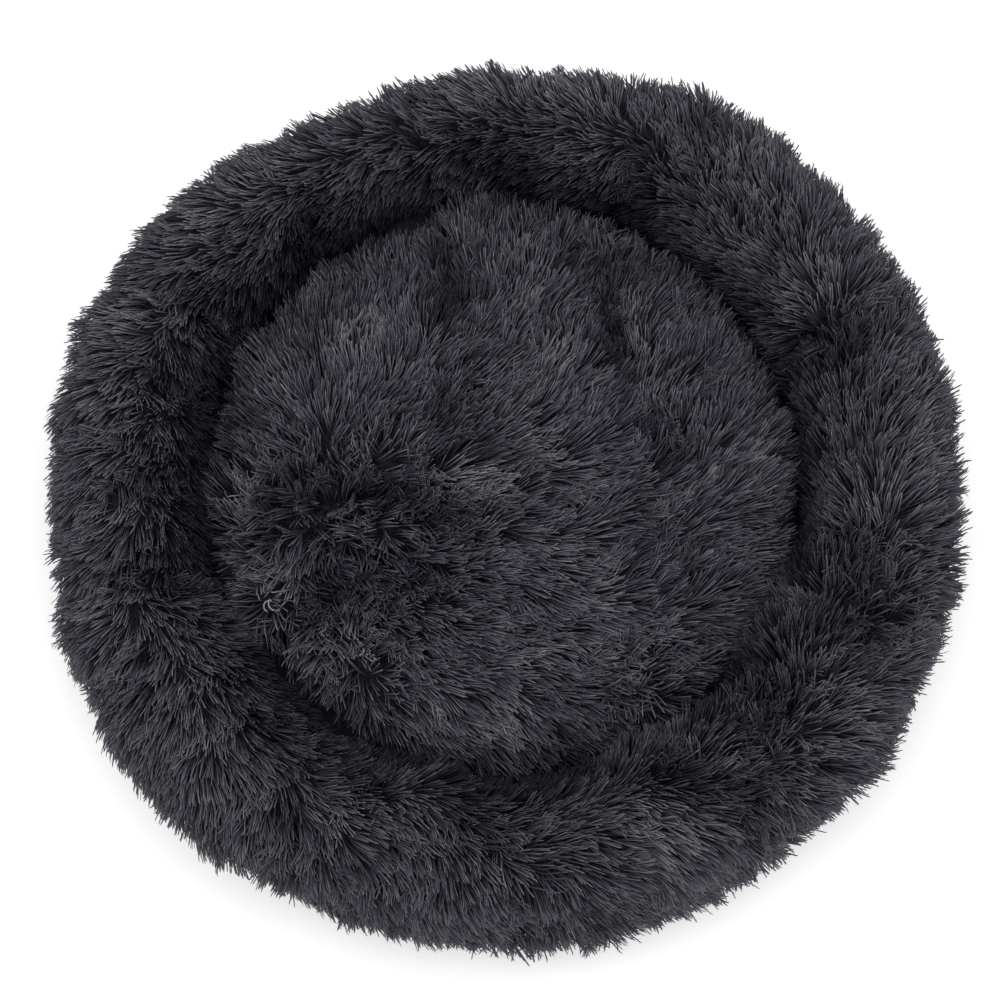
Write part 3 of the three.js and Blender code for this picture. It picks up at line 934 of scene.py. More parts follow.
@dataclass(frozen=True)
class Relief:
    """Dents and swellings of a stuffed body, as strokes seen in plan.

    Attributes:
        strokes: for each, the ends x, y and x, y, its half width and its depth, less than nothing
            for a swelling.
        girth: angles in degrees, with how far the outer wall stands out there.
        low: the height that it starts at.
        shoulder: radius about the hollow's middle, half width and depth of the ring's inner slope.
        fade: the height over which it comes to its full depth.
    """

    strokes: tuple[tuple[float, float, float, float, float, float], ...] = ()
    girth: tuple[Point, ...] = ((0, 0),)
    low: float = 0.0
    shoulder: tuple[float, float, float] = (0.22, 0.014, 0.0)
    fade: float = 0.03

    def depth(self, at: np.ndarray) -> np.ndarray:
        """Adds the strokes up.

        Args:
            at: the points, one per row.

        Returns:
            How deep the surface is pressed at each point.
        """
        radius, width, slope = self.shoulder
        total = slope * bell(np.linalg.norm(from_hollow(at)[:, :2], axis=1) - radius, width)
        for *ends, half, depth in self.strokes:
            total += depth * bell(to_stroke(at[:, :2], np.array(ends[:2]), np.array(ends[2:])), half)
        return total

    def press(self, mesh: bpy.types.Mesh) -> bpy.types.Mesh:
        """Presses the relief into a surface.

        Args:
            mesh: the surface.

        Returns:
            The same mesh, shaded smooth.
        """
        at, up = points_of(mesh), normals_of(mesh)
        share = np.clip((at[:, 2] - self.low) / self.fade, 0, 1)
        out = outwards(at)
        stand = np.interp(angles(at), *zip(*self.girth), period=360)
        stand *= np.clip(dot(up, out)[:, 0] + 0.1, 0, 1) * share
        moved(mesh, at - up * (self.depth(at) * share)[:, None] + out * stand[:, None])
        mesh.shade_smooth()
        return mesh


# Pile


@dataclass(frozen=True)
class Blade:
    """The strand that all pile is made of: a three-sided taper.

    Attributes:
        shares: where its rings sit, from root to tip.
        widths: how wide each ring is.
        streaks: how much lighter each side is than the strand's own tone.
        thick: its thickness, as a share of its width.
        inset: how far in a shade's column on the map the strand keeps, as a share.
    """

    shares: tuple[float, ...] = (0.0, 0.46, 0.93, 1.0)
    widths: tuple[float, ...] = (0.8, 1.0, 0.8, 0.0)
    streaks: tuple[float, float, float] = (0.1, 0.0, -0.12)
    thick: float = 0.55
    inset: float = 0.1

    def template(self) -> bmesh.types.BMesh:
        """Makes one strand, ring by ring.

        Returns:
            The strand: height is the ring's number, and the plan is its outline.
        """
        bm = bmesh.new()
        ring = bmesh.ops.create_circle(bm, segments=3, radius=self.widths[0])["verts"]
        edges = list({e for v in ring for e in v.link_edges})
        for number, width in enumerate(self.widths[1:], 1):
            grown = bmesh.ops.extrude_edge_only(bm, edges=edges)["geom"]
            ring = [g for g in grown if isinstance(g, bmesh.types.BMVert)]
            edges = [g for g in grown if isinstance(g, bmesh.types.BMEdge)]
            scale = width / self.widths[number - 1]
            for vert in ring:
                vert.co = (vert.co.x * scale, vert.co.y * scale, number)
        bmesh.ops.pointmerge(bm, verts=ring, merge_co=(0, 0, len(self.widths) - 1))
        bmesh.ops.recalc_face_normals(bm, faces=bm.faces)
        bm.verts.index_update()
        return bm

    def sweep(
        self, paths: np.ndarray, across: np.ndarray, width: np.ndarray, tone: np.ndarray
    ) -> bpy.types.Mesh:
        """Bends one copy of the strand along each path.

        Args:
            paths: a point per ring for each strand.
            across: each strand's flat side, ring by ring.
            width: each strand's half width.
            tone: each strand's shade, from 0 to 1.

        Returns:
            One mesh with all the strands, and a map from shade and height.
        """
        bm = self.template()
        shape = np.array([v.co for v in bm.verts])
        ring = shape[:, 2].round().astype(int)
        faces = [[v.index for v in f.verts] for f in bm.faces]
        bm.free()
        corner = np.round(np.degrees(np.arctan2(shape[:, 1], shape[:, 0])) / 120) % 3
        tip = len(self.shares) - 1
        spots, streaks = [], []
        for face in faces:
            sides = sorted({corner[i] for i in face if ring[i] < tip})
            first = sides[-1] if sides == [0, 2] else sides[0]
            streaks += [self.streaks[int(first)]] * len(face)
            for i in face:
                spots.append((0.5 if ring[i] == tip else float(corner[i] != first), self.shares[ring[i]]))
        count, size = len(paths), len(shape)
        along = unit(np.gradient(paths, axis=1))
        deep = np.cross(across, along)
        flat, thick = shape[:, 1] * width[:, None], shape[:, 0] * width[:, None] * self.thick
        at = paths[:, ring] + across[:, ring] * flat[..., None] + deep[:, ring] * thick[..., None]
        mesh = bpy.data.meshes.new("pile")
        mesh.vertices.add(count * size)
        loops = np.concatenate([np.array(f) for f in faces])
        totals = np.array([len(f) for f in faces])
        mesh.loops.add(count * len(loops))
        mesh.polygons.add(count * len(faces))
        starts = np.concatenate(([0], np.cumsum(totals)[:-1]))
        every = np.arange(count)[:, None]
        mesh.vertices.foreach_set("co", at.astype(np.float32).ravel())
        mesh.loops.foreach_set("vertex_index", (loops + every * size).ravel().astype(np.int32))
        mesh.polygons.foreach_set("loop_start", (starts + every * len(loops)).ravel().astype(np.int32))
        column = np.floor(np.clip(tone[:, None] + streaks, 0, 0.999) * SHADES) / SHADES
        places = np.tile(np.array(spots), (count, 1, 1))
        places[..., 0] = column + (places[..., 0] * (1 - 2 * self.inset) + self.inset) / SHADES
        mesh.uv_layers.new(name=MAP).uv.foreach_set("vector", places.ravel().astype(np.float32))
        mesh.update(calc_edges=True)
        mesh.validate()
        mesh.shade_smooth()
        return mesh


@dataclass(frozen=True)
class Nap:
    """How pile is combed and how long it is. A bare nap stands up.

    Attributes:
        relief: the dents of the body under it, where the pile stands up and is darker, a painted shade; its
            swellings get painted light.
        shading: how fast the painted shade deepens with the depth of a dent, in shades a metre.
        shades: the most painted shade and painted light that it gets.
    """

    relief: Relief = Relief()
    shading: float = 42
    shades: Point = (-0.32, 0.3)

    def tone(self, seen: np.ndarray) -> np.ndarray:
        """Returns how much lighter the pile is where it is seen: painted shade over a dent, painted light
        over a swelling.
        """
        return np.clip(-self.shading * self.relief.depth(seen), *self.shades)

    def comb(self, at: np.ndarray, up: np.ndarray) -> np.ndarray:
        """Returns the way that the pile leans at each point."""
        return flat_on(np.tile((1.0, 0.0, 0.0), (len(at), 1)), up)

    def length(self, at: np.ndarray, up: np.ndarray) -> np.ndarray:
        """Returns the share of the full length at each point."""
        return np.ones(len(at))

    def lean(self, at: np.ndarray, up: np.ndarray) -> np.ndarray:
        """Returns how much more than usual the pile lies down, in degrees."""
        return np.zeros(len(at))

    def density(self, at: np.ndarray, up: np.ndarray) -> np.ndarray:
        """Returns the share of the full density at each point."""
        return np.ones(len(at))

    def unrest(self, at: np.ndarray) -> np.ndarray:
        """Returns how ruffled the pile is at each point, from 0 to 1: most in the dents."""
        return np.clip(self.relief.depth(at) / DEEPEST, 0, 1)

    def raised(self, at: np.ndarray) -> np.ndarray:
        """Returns how far the pile stands up out of the dents at each point, in degrees."""
        return np.clip(self.relief.depth(at), 0, DEEPEST) * STAND_UP


@dataclass(frozen=True)
class RingNap(Nap):
    """Pile that runs round the ring, counter-clockwise: outwards over the outer side and into the
    hollow on the inner one, with a fan past each crease.

    Attributes:
        sections: places round the tube's section in degrees, 0 at the outer bulge, 90 on top.
        turns: how far the pile turns outwards there from the way round, in degrees.
        fan: how strongly it fans past a crease.
        reach: how far the fan reaches.
        onset: how soon past a crease the fan begins.
        at_crease: how much of the fan there is at the crease itself.
        slits: angles about the hollow between which the ring stands clear of the cushion.
        edge: how far past a slit the pile still stands clear, in degrees.
        wall: where on the section the inner wall begins, and where it is reached.
        window: how far round the zip's window the pile is cut short: degrees beside it, metres
            above it, and the last place on the section.
        cropped: the share of its length that it keeps there.
        longest: where it is longest, in degrees clockwise from +X.
        uneven: how much longer it is there, as a share.
        trim: how much shorter it is beside a slit, as a share.
        stand: how far it stands out from the inner wall, and from the wall beside a slit, in degrees.
        stand_at_zip: how far it stands out over the zip's window, in degrees.
    """

    sections: tuple[float, ...] = (-70, 0, 45, 90, 130, 160, 200, 250)
    turns: tuple[float, ...] = (82, 66, 57, 47, 38, 20, -40, -70)
    fan: float = 1.1
    reach: float = 0.055
    onset: float = 0.02
    at_crease: float = 0.6
    slits: tuple[Point, ...] = (
        (-15, 15), (33, 52), (64, 90), (105, 145), (160, 196), (218, 236), (245, 254), (262, 287), (311, 318),
    )
    edge: float = 4
    wall: Point = (125, 165)
    window: tuple[float, float, float] = (2, 0.016, 60)
    cropped: float = 0.5
    longest: float = 55
    uneven: float = 0.1
    trim: float = 0.12
    stand: Point = (34, 14)
    stand_at_zip: float = 22

    def section(self, at: np.ndarray, up: np.ndarray) -> np.ndarray:
        """Places points round the tube's section.

        Args:
            at: the points.
            up: the normals there.

        Returns:
            Each one's place in degrees, as in sections.
        """
        place = np.degrees(np.arctan2(up[:, 2], dot(up, outwards(at))[:, 0]))
        return np.where(place < -100, place + 360, place)

    def clear(self, at: np.ndarray) -> np.ndarray:
        """Finds the slits between the ring and the cushion.

        Args:
            at: the points.

        Returns:
            1 beside a slit, falling to 0 where the pile touches the cushion.
        """
        start, end = np.array(self.slits).T
        apart = np.abs((angles(from_hollow(at))[:, None] - (start + end) / 2 + 180) % 360 - 180)
        return np.clip(1 - (apart - (end - start) / 2).min(1) / self.edge, 0, 1)

    def inner(self, at: np.ndarray, up: np.ndarray) -> np.ndarray:
        """Returns 1 on the wall that faces the cushion, falling to 0 on the crest."""
        start, full = self.wall
        return np.clip((self.section(at, up) - start) / (full - start), 0, 1)

    def over_zip(self, at: np.ndarray, up: np.ndarray) -> np.ndarray:
        """Finds the pile that is cut short round the zip's window.

        Args:
            at: the points.
            up: the normals there.

        Returns:
            Whether each point lies there.
        """
        beside, above, last = self.window
        angle = angles(at) % 360
        near = (angle > ZIP_FROM - beside) & (angle < ZIP_TO + beside)
        return near & (at[:, 2] < ZIP_TOP + above) & (self.section(at, up) < last)

    def comb(self, at: np.ndarray, up: np.ndarray) -> np.ndarray:
        """Combs the pile.

        Args:
            at: the points.
            up: the normals there.

        Returns:
            The way that it leans at each point.
        """
        round_way = unit(flat_on(np.cross(UP, outwards(at)), up))
        over = np.cross(round_way, up)
        turn = np.radians(np.interp(self.section(at, up), self.sections, self.turns))[:, None]
        way = np.cos(turn) * round_way + np.sin(turn) * over
        for crease in CREASES:
            apart = at - (np.array(heading(crease) * CREASE_RADIUS) + (0, 0, CREASE_HEIGHT))
            far = np.linalg.norm(apart, axis=1, keepdims=True)
            past = np.clip(dot(apart, np.array(heading(crease + 90))) / self.onset + self.at_crease, 0, 1)
            way += self.fan * past * bell(far, self.reach) * unit(flat_on(apart, up))
        return unit(flat_on(way, up))

    def length(self, at: np.ndarray, up: np.ndarray) -> np.ndarray:
        """Cuts the pile shorter up the inner wall and over the zip, and longest at the front right.

        Args:
            at: the points.
            up: the normals there.

        Returns:
            The share of the full length at each point.
        """
        share = 1 + self.uneven * np.cos(np.radians(angles(at) % 360 + self.longest))
        share *= np.interp(self.section(at, up), (-40, 0, 140, 180), (0.85, 1, 1, 0.95))
        share *= 1 - self.trim * self.clear(at) * self.inner(at, up)
        return np.where(self.over_zip(at, up), self.cropped * share, share)

    def lean(self, at: np.ndarray, up: np.ndarray) -> np.ndarray:
        """Lets the pile stand out from the inner wall, the zip's window and the dents.

        Args:
            at: the points.
            up: the normals there.

        Returns:
            How much more than usual it lies down at each point, in degrees.
        """
        bed = np.interp(self.section(at, up), (-60, -10), (12, 0))
        full, beside = self.stand
        bed -= (full - (full - beside) * self.clear(at)) * self.inner(at, up)
        bed -= self.stand_at_zip * self.over_zip(at, up)
        return bed - self.raised(at)

    def tone(self, seen: np.ndarray) -> np.ndarray:
        """Paints shade on the pile next to the cushion, most of all beside a slit, and paints a little light
        further out, on the ring's inner half.

        Args:
            seen: where it is seen.

        Returns:
            How much lighter it is there.
        """
        far = np.linalg.norm(from_hollow(seen)[:, :2], axis=1)
        # Painted shade next to the cushion, painted light further out on the ring's inner half, and more
        # painted shade beside a slit
        edge = np.interp(far, (0.188, 0.198, 0.21, 0.24, 0.27), (-0.1, 0.0, 0.1, 0.08, 0))
        edge -= np.interp(far, (0.19, 0.204), (0.24, 0)) * self.clear(seen)
        return super().tone(seen) + edge

    def density(self, at: np.ndarray, up: np.ndarray) -> np.ndarray:
        """Thins the pile where it is out of sight."""
        return np.interp(self.section(at, up), (-60, -10, 145, 185), (0.6, 1, 1, 0.5))


@dataclass(frozen=True)
class CushionNap(Nap):
    """Pile brushed as given: each spot says which way it lies, and the tufts throw it outwards.

    Attributes:
        spots: x and y as shares of the cushion's radius, and the way in degrees.
        tufts: x and y of each tuft, as shares.
        parting: ends of the line that the pile falls away from on both sides, as shares.
        throw: how strongly a tuft throws the pile outwards.
        whorl: how far it does so, as a share.
        spin: how much of the throw runs round the tuft.
        blend: how softly neighbouring spots mix, as a share squared.
        ruffled: how far tufts and the parting ruffle it, as a share.
        bright: how much lighter it is at a tuft, and how far from it, as a share.
    """

    spots: tuple[tuple[float, float, float], ...] = ()
    tufts: tuple[Point, ...] = ()
    parting: tuple[Point, Point] = ((-0.72, -0.1), (-0.4, -0.11))
    throw: float = 1.1
    whorl: float = 0.1
    spin: float = 0.6
    blend: float = 0.01
    ruffled: float = 0.15
    bright: Point = (0.24, 0.13)

    def place(self, at: np.ndarray) -> np.ndarray:
        """Returns each point's x and y as shares of the cushion's radius."""
        return from_hollow(at)[:, :2] / CUSHION_RADIUS

    def to_tuft(self, plan: np.ndarray) -> np.ndarray:
        """Returns the distance to the nearest tuft, as a share of the cushion's radius."""
        return np.min([np.linalg.norm(plan - tuft, axis=1) for tuft in self.tufts], axis=0)

    def brushed(self, plan: np.ndarray) -> np.ndarray:
        """Brushes the pile by the spots.

        Args:
            plan: the points, as place gives them.

        Returns:
            The way at each point in plan, shorter than one where the spots disagree.
        """
        table = np.array(self.spots)
        gap = ((plan[:, None] - table[None, :, :2]) ** 2).sum(-1)
        pull = 1 / (gap + self.blend) ** 2
        turn = np.radians(table[:, 2])
        way = np.stack((pull @ np.cos(turn), pull @ np.sin(turn)), 1)
        return way / pull.sum(1, keepdims=True)

    def comb(self, at: np.ndarray, up: np.ndarray) -> np.ndarray:
        """Combs the pile.

        Args:
            at: the points.
            up: the normals there.

        Returns:
            The way that it leans at each point: over the rim it hangs.
        """
        plan = self.place(at)
        way = self.brushed(plan)
        for tuft in self.tufts:
            apart = plan - tuft
            far = np.linalg.norm(apart, axis=1, keepdims=True)
            spun = unit(apart) + self.spin * unit(apart[:, ::-1] * (-1, 1))
            way += self.throw * bell(far, self.whorl) * spun
        rim = np.clip(0.5 - up[:, 2], 0, 0.5) * 2
        way += unit(plan) * rim[:, None]
        return unit(flat_on(np.column_stack((way, -rim)), up))

    def unrest(self, at: np.ndarray) -> np.ndarray:
        """Ruffles the pile round the tufts and the parting too, and where the brush turned.

        Args:
            at: the points.

        Returns:
            How ruffled it is at each point, from 0 to 1.
        """
        plan = self.place(at)
        start, end = np.array(self.parting)
        near = np.minimum(to_stroke(plan, start, end), self.to_tuft(plan))
        turned = np.clip(1.3 - 2 * np.linalg.norm(self.brushed(plan), axis=1), 0, 1)
        return np.maximum.reduce((super().unrest(at), bell(near, self.ruffled), turned))

    def tone(self, seen: np.ndarray) -> np.ndarray:
        """Lightens the pile where a tuft throws it up."""
        lighter, reach = self.bright
        return super().tone(seen) + lighter * bell(self.to_tuft(self.place(seen)), reach)

    def length(self, at: np.ndarray, up: np.ndarray) -> np.ndarray:
        """Cuts the pile shorter low on the side, where the ring is close."""
        return np.interp(up[:, 2], (-0.5, 0.1), (0.6, 1))

    def lean(self, at: np.ndarray, up: np.ndarray) -> np.ndarray:
        """Lets the pile stand out from the side and from the dents."""
        return np.interp(up[:, 2], (0.0, 0.6), (-18, 0)) - self.raised(at)


@dataclass(frozen=True)
class Stray:
    """How far strands stray at random from what their place gives them.

    Attributes:
        lock: a whole lock.
        ruffled: a whole lock more, where the pile is fully ruffled.
        strand: each strand in its lock.
    """

    lock: float
    ruffled: float
    strand: float

    def draw(self, leader: np.ndarray, unrest: np.ndarray, rng: np.random.Generator) -> np.ndarray:
        """Draws how far each strand strays.

        Args:
            leader: the strand that leads each one's lock.
            unrest: how ruffled the pile is at each one.
            rng: the random numbers.

        Returns:
            One value per strand.
        """
        locks = rng.normal(0, 1, len(leader))[leader]
        return (self.lock + self.ruffled * unrest) * locks + rng.normal(0, self.strand, len(leader))


@dataclass(frozen=True)
class Pile:
    """Long pile on one cloth, as strands that gather in pointed locks.

    Attributes:
        nap: how it is combed.
        spacing: the distance between strands.
        length: the full length of a strand.
        width: half a strand's width.
        lean: how far it lies down at the root and at the tip, in degrees.
        tone: a strand's shade before it varies, from 0 to 1.
        seed: which random numbers it uses.
        lock: how many strands a lock has.
        pull: how far a lock's strands come together at the tip, least and most.
        closing: how late along the strand they do so, as a power.
        meeting: how much closer than at the root their tips aim, as a share.
        yaw: how far strands turn aside, in degrees.
        bends: how the turning drifts over the cloth: height, size and seed of each noise.
        curl: how far they curl from root to tip, in degrees.
        straight: where along a strand the curl leaves its way unchanged, as a share.
        rise: how far they stand up or lie down, in degrees.
        lift: how far ruffled pile stands up, in degrees.
        limits: the most upright and the flattest that a strand lies, in degrees.
        locks: a lock's length, least and most.
        strands: a strand's length in its lock, least and most.
        roll: how far a strand rolls about itself, in degrees.
        widths: a strand's width, least and most.
        shade: how far their shades stray.
        clouds: how the shade drifts over the cloth, as in bends.
        sunk: how deep the roots sit in the backing.
        blade: the strand's shape.
    """

    nap: Nap
    spacing: float
    length: float
    width: float
    lean: Point
    tone: float
    seed: int
    lock: int = 6
    pull: Point = (0.0, 0.4)
    closing: float = 1.2
    meeting: float = 0.6
    yaw: Stray = Stray(6, 60, 6)
    bends: tuple[tuple[float, float, int], ...] = ((17, 0.045, 3), (16, 0.018, 4))
    curl: Stray = Stray(21, 55, 13)
    straight: float = 0.4
    rise: Stray = Stray(4, 0, 5)
    lift: float = 12
    limits: Point = (5, 86)
    locks: Point = (0.86, 1.1)
    strands: Point = (0.82, 1.08)
    roll: float = 22
    widths: Point = (0.75, 1.2)
    shade: Stray = Stray(0.06, 0, 0.11)
    clouds: tuple[tuple[float, float, int], ...] = ((0.03, 0.05, 5), (0.05, 0.02, 6))
    sunk: float = 0.0006
    blade: Blade = field(default_factory=Blade)

    def scatter(self, mesh: bpy.types.Mesh, rng: np.random.Generator) -> tuple[np.ndarray, np.ndarray]:
        """Spreads roots evenly over a cloth's outer face.

        Args:
            mesh: the cloth, before it has a thickness.
            rng: the random numbers.

        Returns:
            The roots and the normals there.
        """
        mesh.calc_loop_triangles()
        index = np.empty(len(mesh.loop_triangles) * 3, np.int32)
        mesh.loop_triangles.foreach_get("vertices", index)
        corners = points_of(mesh)[index.reshape(-1, 3)]
        slopes = normals_of(mesh)[index.reshape(-1, 3)]
        sides = corners[:, 1:] - corners[:, :1]
        area = np.linalg.norm(np.cross(sides[:, 0], sides[:, 1]), axis=1) / 2
        total = np.cumsum(area * self.nap.density(corners.mean(1), unit(slopes.mean(1))))
        count = int(total[-1] / self.spacing**2)
        picks = np.searchsorted(total, (np.arange(count) + rng.random(count)) / count * total[-1])
        picks = np.minimum(picks, len(total) - 1)
        a, b = rng.random((2, count, 1))
        a, b = np.where(a + b > 1, 1 - a, a), np.where(a + b > 1, 1 - b, b)
        mix = np.stack((1 - a - b, a, b), 1)
        return (corners[picks] * mix).sum(1), unit((slopes[picks] * mix).sum(1))

    def gather(self, root: np.ndarray, rng: np.random.Generator) -> np.ndarray:
        """Gathers the strands in locks.

        Args:
            root: their roots.
            rng: the random numbers.

        Returns:
            For each strand, the number of the strand that leads its lock.
        """
        leaders = rng.choice(len(root), max(1, len(root) // self.lock), replace=False)
        tree = KDTree(len(leaders))
        for leader in leaders:
            tree.insert(root[leader], int(leader))
        tree.balance()
        return np.array([tree.find(at)[1] for at in root])

    def grow(self, mesh: bpy.types.Mesh, low: float = 0.003) -> bpy.types.Mesh:
        """Grows the pile.

        Args:
            mesh: the cloth, before it has a thickness.
            low: the lowest that a strand may reach.

        Returns:
            The pile's mesh.
        """
        rng = np.random.default_rng(self.seed)
        root, up = self.scatter(mesh, rng)
        count = len(root)
        leader = self.gather(root, rng)
        shares = np.array(self.blade.shares)
        middles = (shares[1:] + shares[:-1]) / 2
        unrest = self.nap.unrest(root)
        yaw = self.yaw.draw(leader, unrest, rng) + drift(root, self.bends)
        way = self.nap.comb(root, up)
        side = np.cross(up, way)
        curl = self.curl.draw(leader, unrest, rng)
        turn = np.radians(yaw[:, None] + curl[:, None] * (middles - self.straight))[..., None]
        combed = np.cos(turn) * way[:, None] + np.sin(turn) * side[:, None]
        rise = self.rise.draw(leader, unrest, rng) + self.nap.lean(root, up) - self.lift * unrest
        lean = np.interp(middles, (0, 1), self.lean)[None] + rise[:, None]
        lean = np.radians(np.clip(lean, *self.limits))[..., None]
        long = self.length * self.nap.length(root, up)
        long *= rng.uniform(*self.locks, count)[leader] * rng.uniform(*self.strands, count)
        steps = np.cos(lean) * up[:, None] + np.sin(lean) * combed
        steps *= (long[:, None] * np.diff(shares))[..., None]
        paths = np.concatenate((root[:, None], root[:, None] + np.cumsum(steps, 1)), 1)
        pull = (rng.uniform(*self.pull, count)[leader][:, None] * shares**self.closing)[..., None]
        spread = (root - root[leader])[:, None] * (1 - self.meeting * shares[:, None])
        paths += pull * (paths[leader] + spread - paths)
        paths -= up[:, None] * self.sunk
        depth = root[:, 2] - paths[..., 2].min(1)
        squeeze = np.clip((root[:, 2] - low) / np.maximum(depth, 1e-9), 0, 1)
        paths[..., 2] = root[:, 2, None] + (paths[..., 2] - root[:, 2, None]) * squeeze[:, None]
        roll = np.radians(rng.normal(0, self.roll, count))[:, None, None]
        along = unit(np.gradient(paths, axis=1))
        across = unit(np.cross(np.broadcast_to(up[:, None], along.shape), along))
        across = np.cos(roll) * across + np.sin(roll) * np.cross(along, across)
        # The nap's tone paints shade over dents and beside the cushion, and light over swellings and up the
        # ring's inner slope
        tone = self.tone + self.nap.tone(paths[:, 3]) + drift(root, self.clouds)
        tone += self.shade.draw(leader, unrest, rng)
        width = self.width * rng.uniform(*self.widths, count)
        return self.blade.sweep(paths, across, width, tone)


# The bed's parts


@dataclass
class Bolster:
    """The ring: filling, inner bag in two halves, nine plush panels and their pile.

    Attributes:
        pile: the pile of its panels.
        core: its filling.
        bag_seam: the height at which the inner bag's halves meet.
        window_inside: the radius inside which the zip's window cuts nothing.
        fill: how tight it is stuffed; not used.
    """

    pile: Pile
    core: Padding
    bag_seam: float = 0.062
    window_inside: float = 0.24
    fill: float = 0.7

    def panel(self, surface: bpy.types.Mesh, start: float, end: float) -> bmesh.types.BMesh:
        """Cuts one panel's outer face from the ring.

        Args:
            surface: the stuffed core.
            start: the angle of its first seam.
            end: the angle of its last seam.

        Returns:
            The face, with the base seam and the zip's window cut out.
        """
        bm = shell(surface, BACKING_GAP, BACKING_CLOTH)
        split_at(bm, Vector(), heading(start - 90), clear=True)
        split_at(bm, Vector(), heading(end + 90), clear=True)
        split_at(bm, UP * BASE_SEAM, UP)
        split_at(bm, UP * FLOOR_TOP, UP)
        bm.normal_update()
        drop_faces(bm, lambda f, c: c.z < FLOOR_TOP or (c.z < BASE_SEAM and f.normal.xy @ c.xy > 0))
        if start < ZIP_TO and end > ZIP_FROM:
            for edge in (ZIP_FROM, ZIP_TO):
                if start < edge < end:
                    split_at(bm, Vector(), heading(edge + 90))
            split_at(bm, UP * ZIP_TOP, UP)
            drop_faces(bm, self.in_window)
        return bm

    def in_window(self, face: bmesh.types.BMFace, middle: Vector) -> bool:
        """Returns whether a face lies in the zip's window, by its middle."""
        outside = middle.z < ZIP_TOP and middle.xy.length > self.window_inside
        return outside and ZIP_FROM < angle_of(middle) < ZIP_TO

    def build(self) -> None:
        """Builds the ring."""
        surface = self.pile.nap.relief.press(self.core.surface())
        for word, side in (("upper", 1), ("lower", -1)):
            bm = shell(surface, LINER_GAP, LINER_CLOTH)
            split_at(bm, UP * self.bag_seam, UP * -side, clear=True)
            cloth, finish = thickened(bm, LINER_CLOTH), LINER.material(f"spunbonded_{word}")
            stands_for = [f"bolster_liner_{word}"]
            piece(f"inner_bag_{word}", cloth, "bed", finish, stands_for)
        pile_finish = RING_PILE.material("ring_pile")
        backing = BACKING.material("ring_backing")
        ends = (*CREASES[1:], CREASES[0] + 360)
        for number, (start, end) in enumerate(zip(CREASES, ends), 1):
            bm = self.panel(surface, start, end)
            grown = replace(self.pile, seed=self.pile.seed + number).grow(ground_of(bm))
            piece(f"plush_pile_{number}", grown, "bed", pile_finish)
            panel, stands_for = thickened(bm, BACKING_CLOTH), [f"bolster_panel_{number}"]
            piece(f"plush_panel_{number}", panel, "bed", backing, stands_for)
        fibre = FIBRE.material("ring_fibre")
        piece("ring_filling", surface, "bed", fibre, ["bolster_filling"])


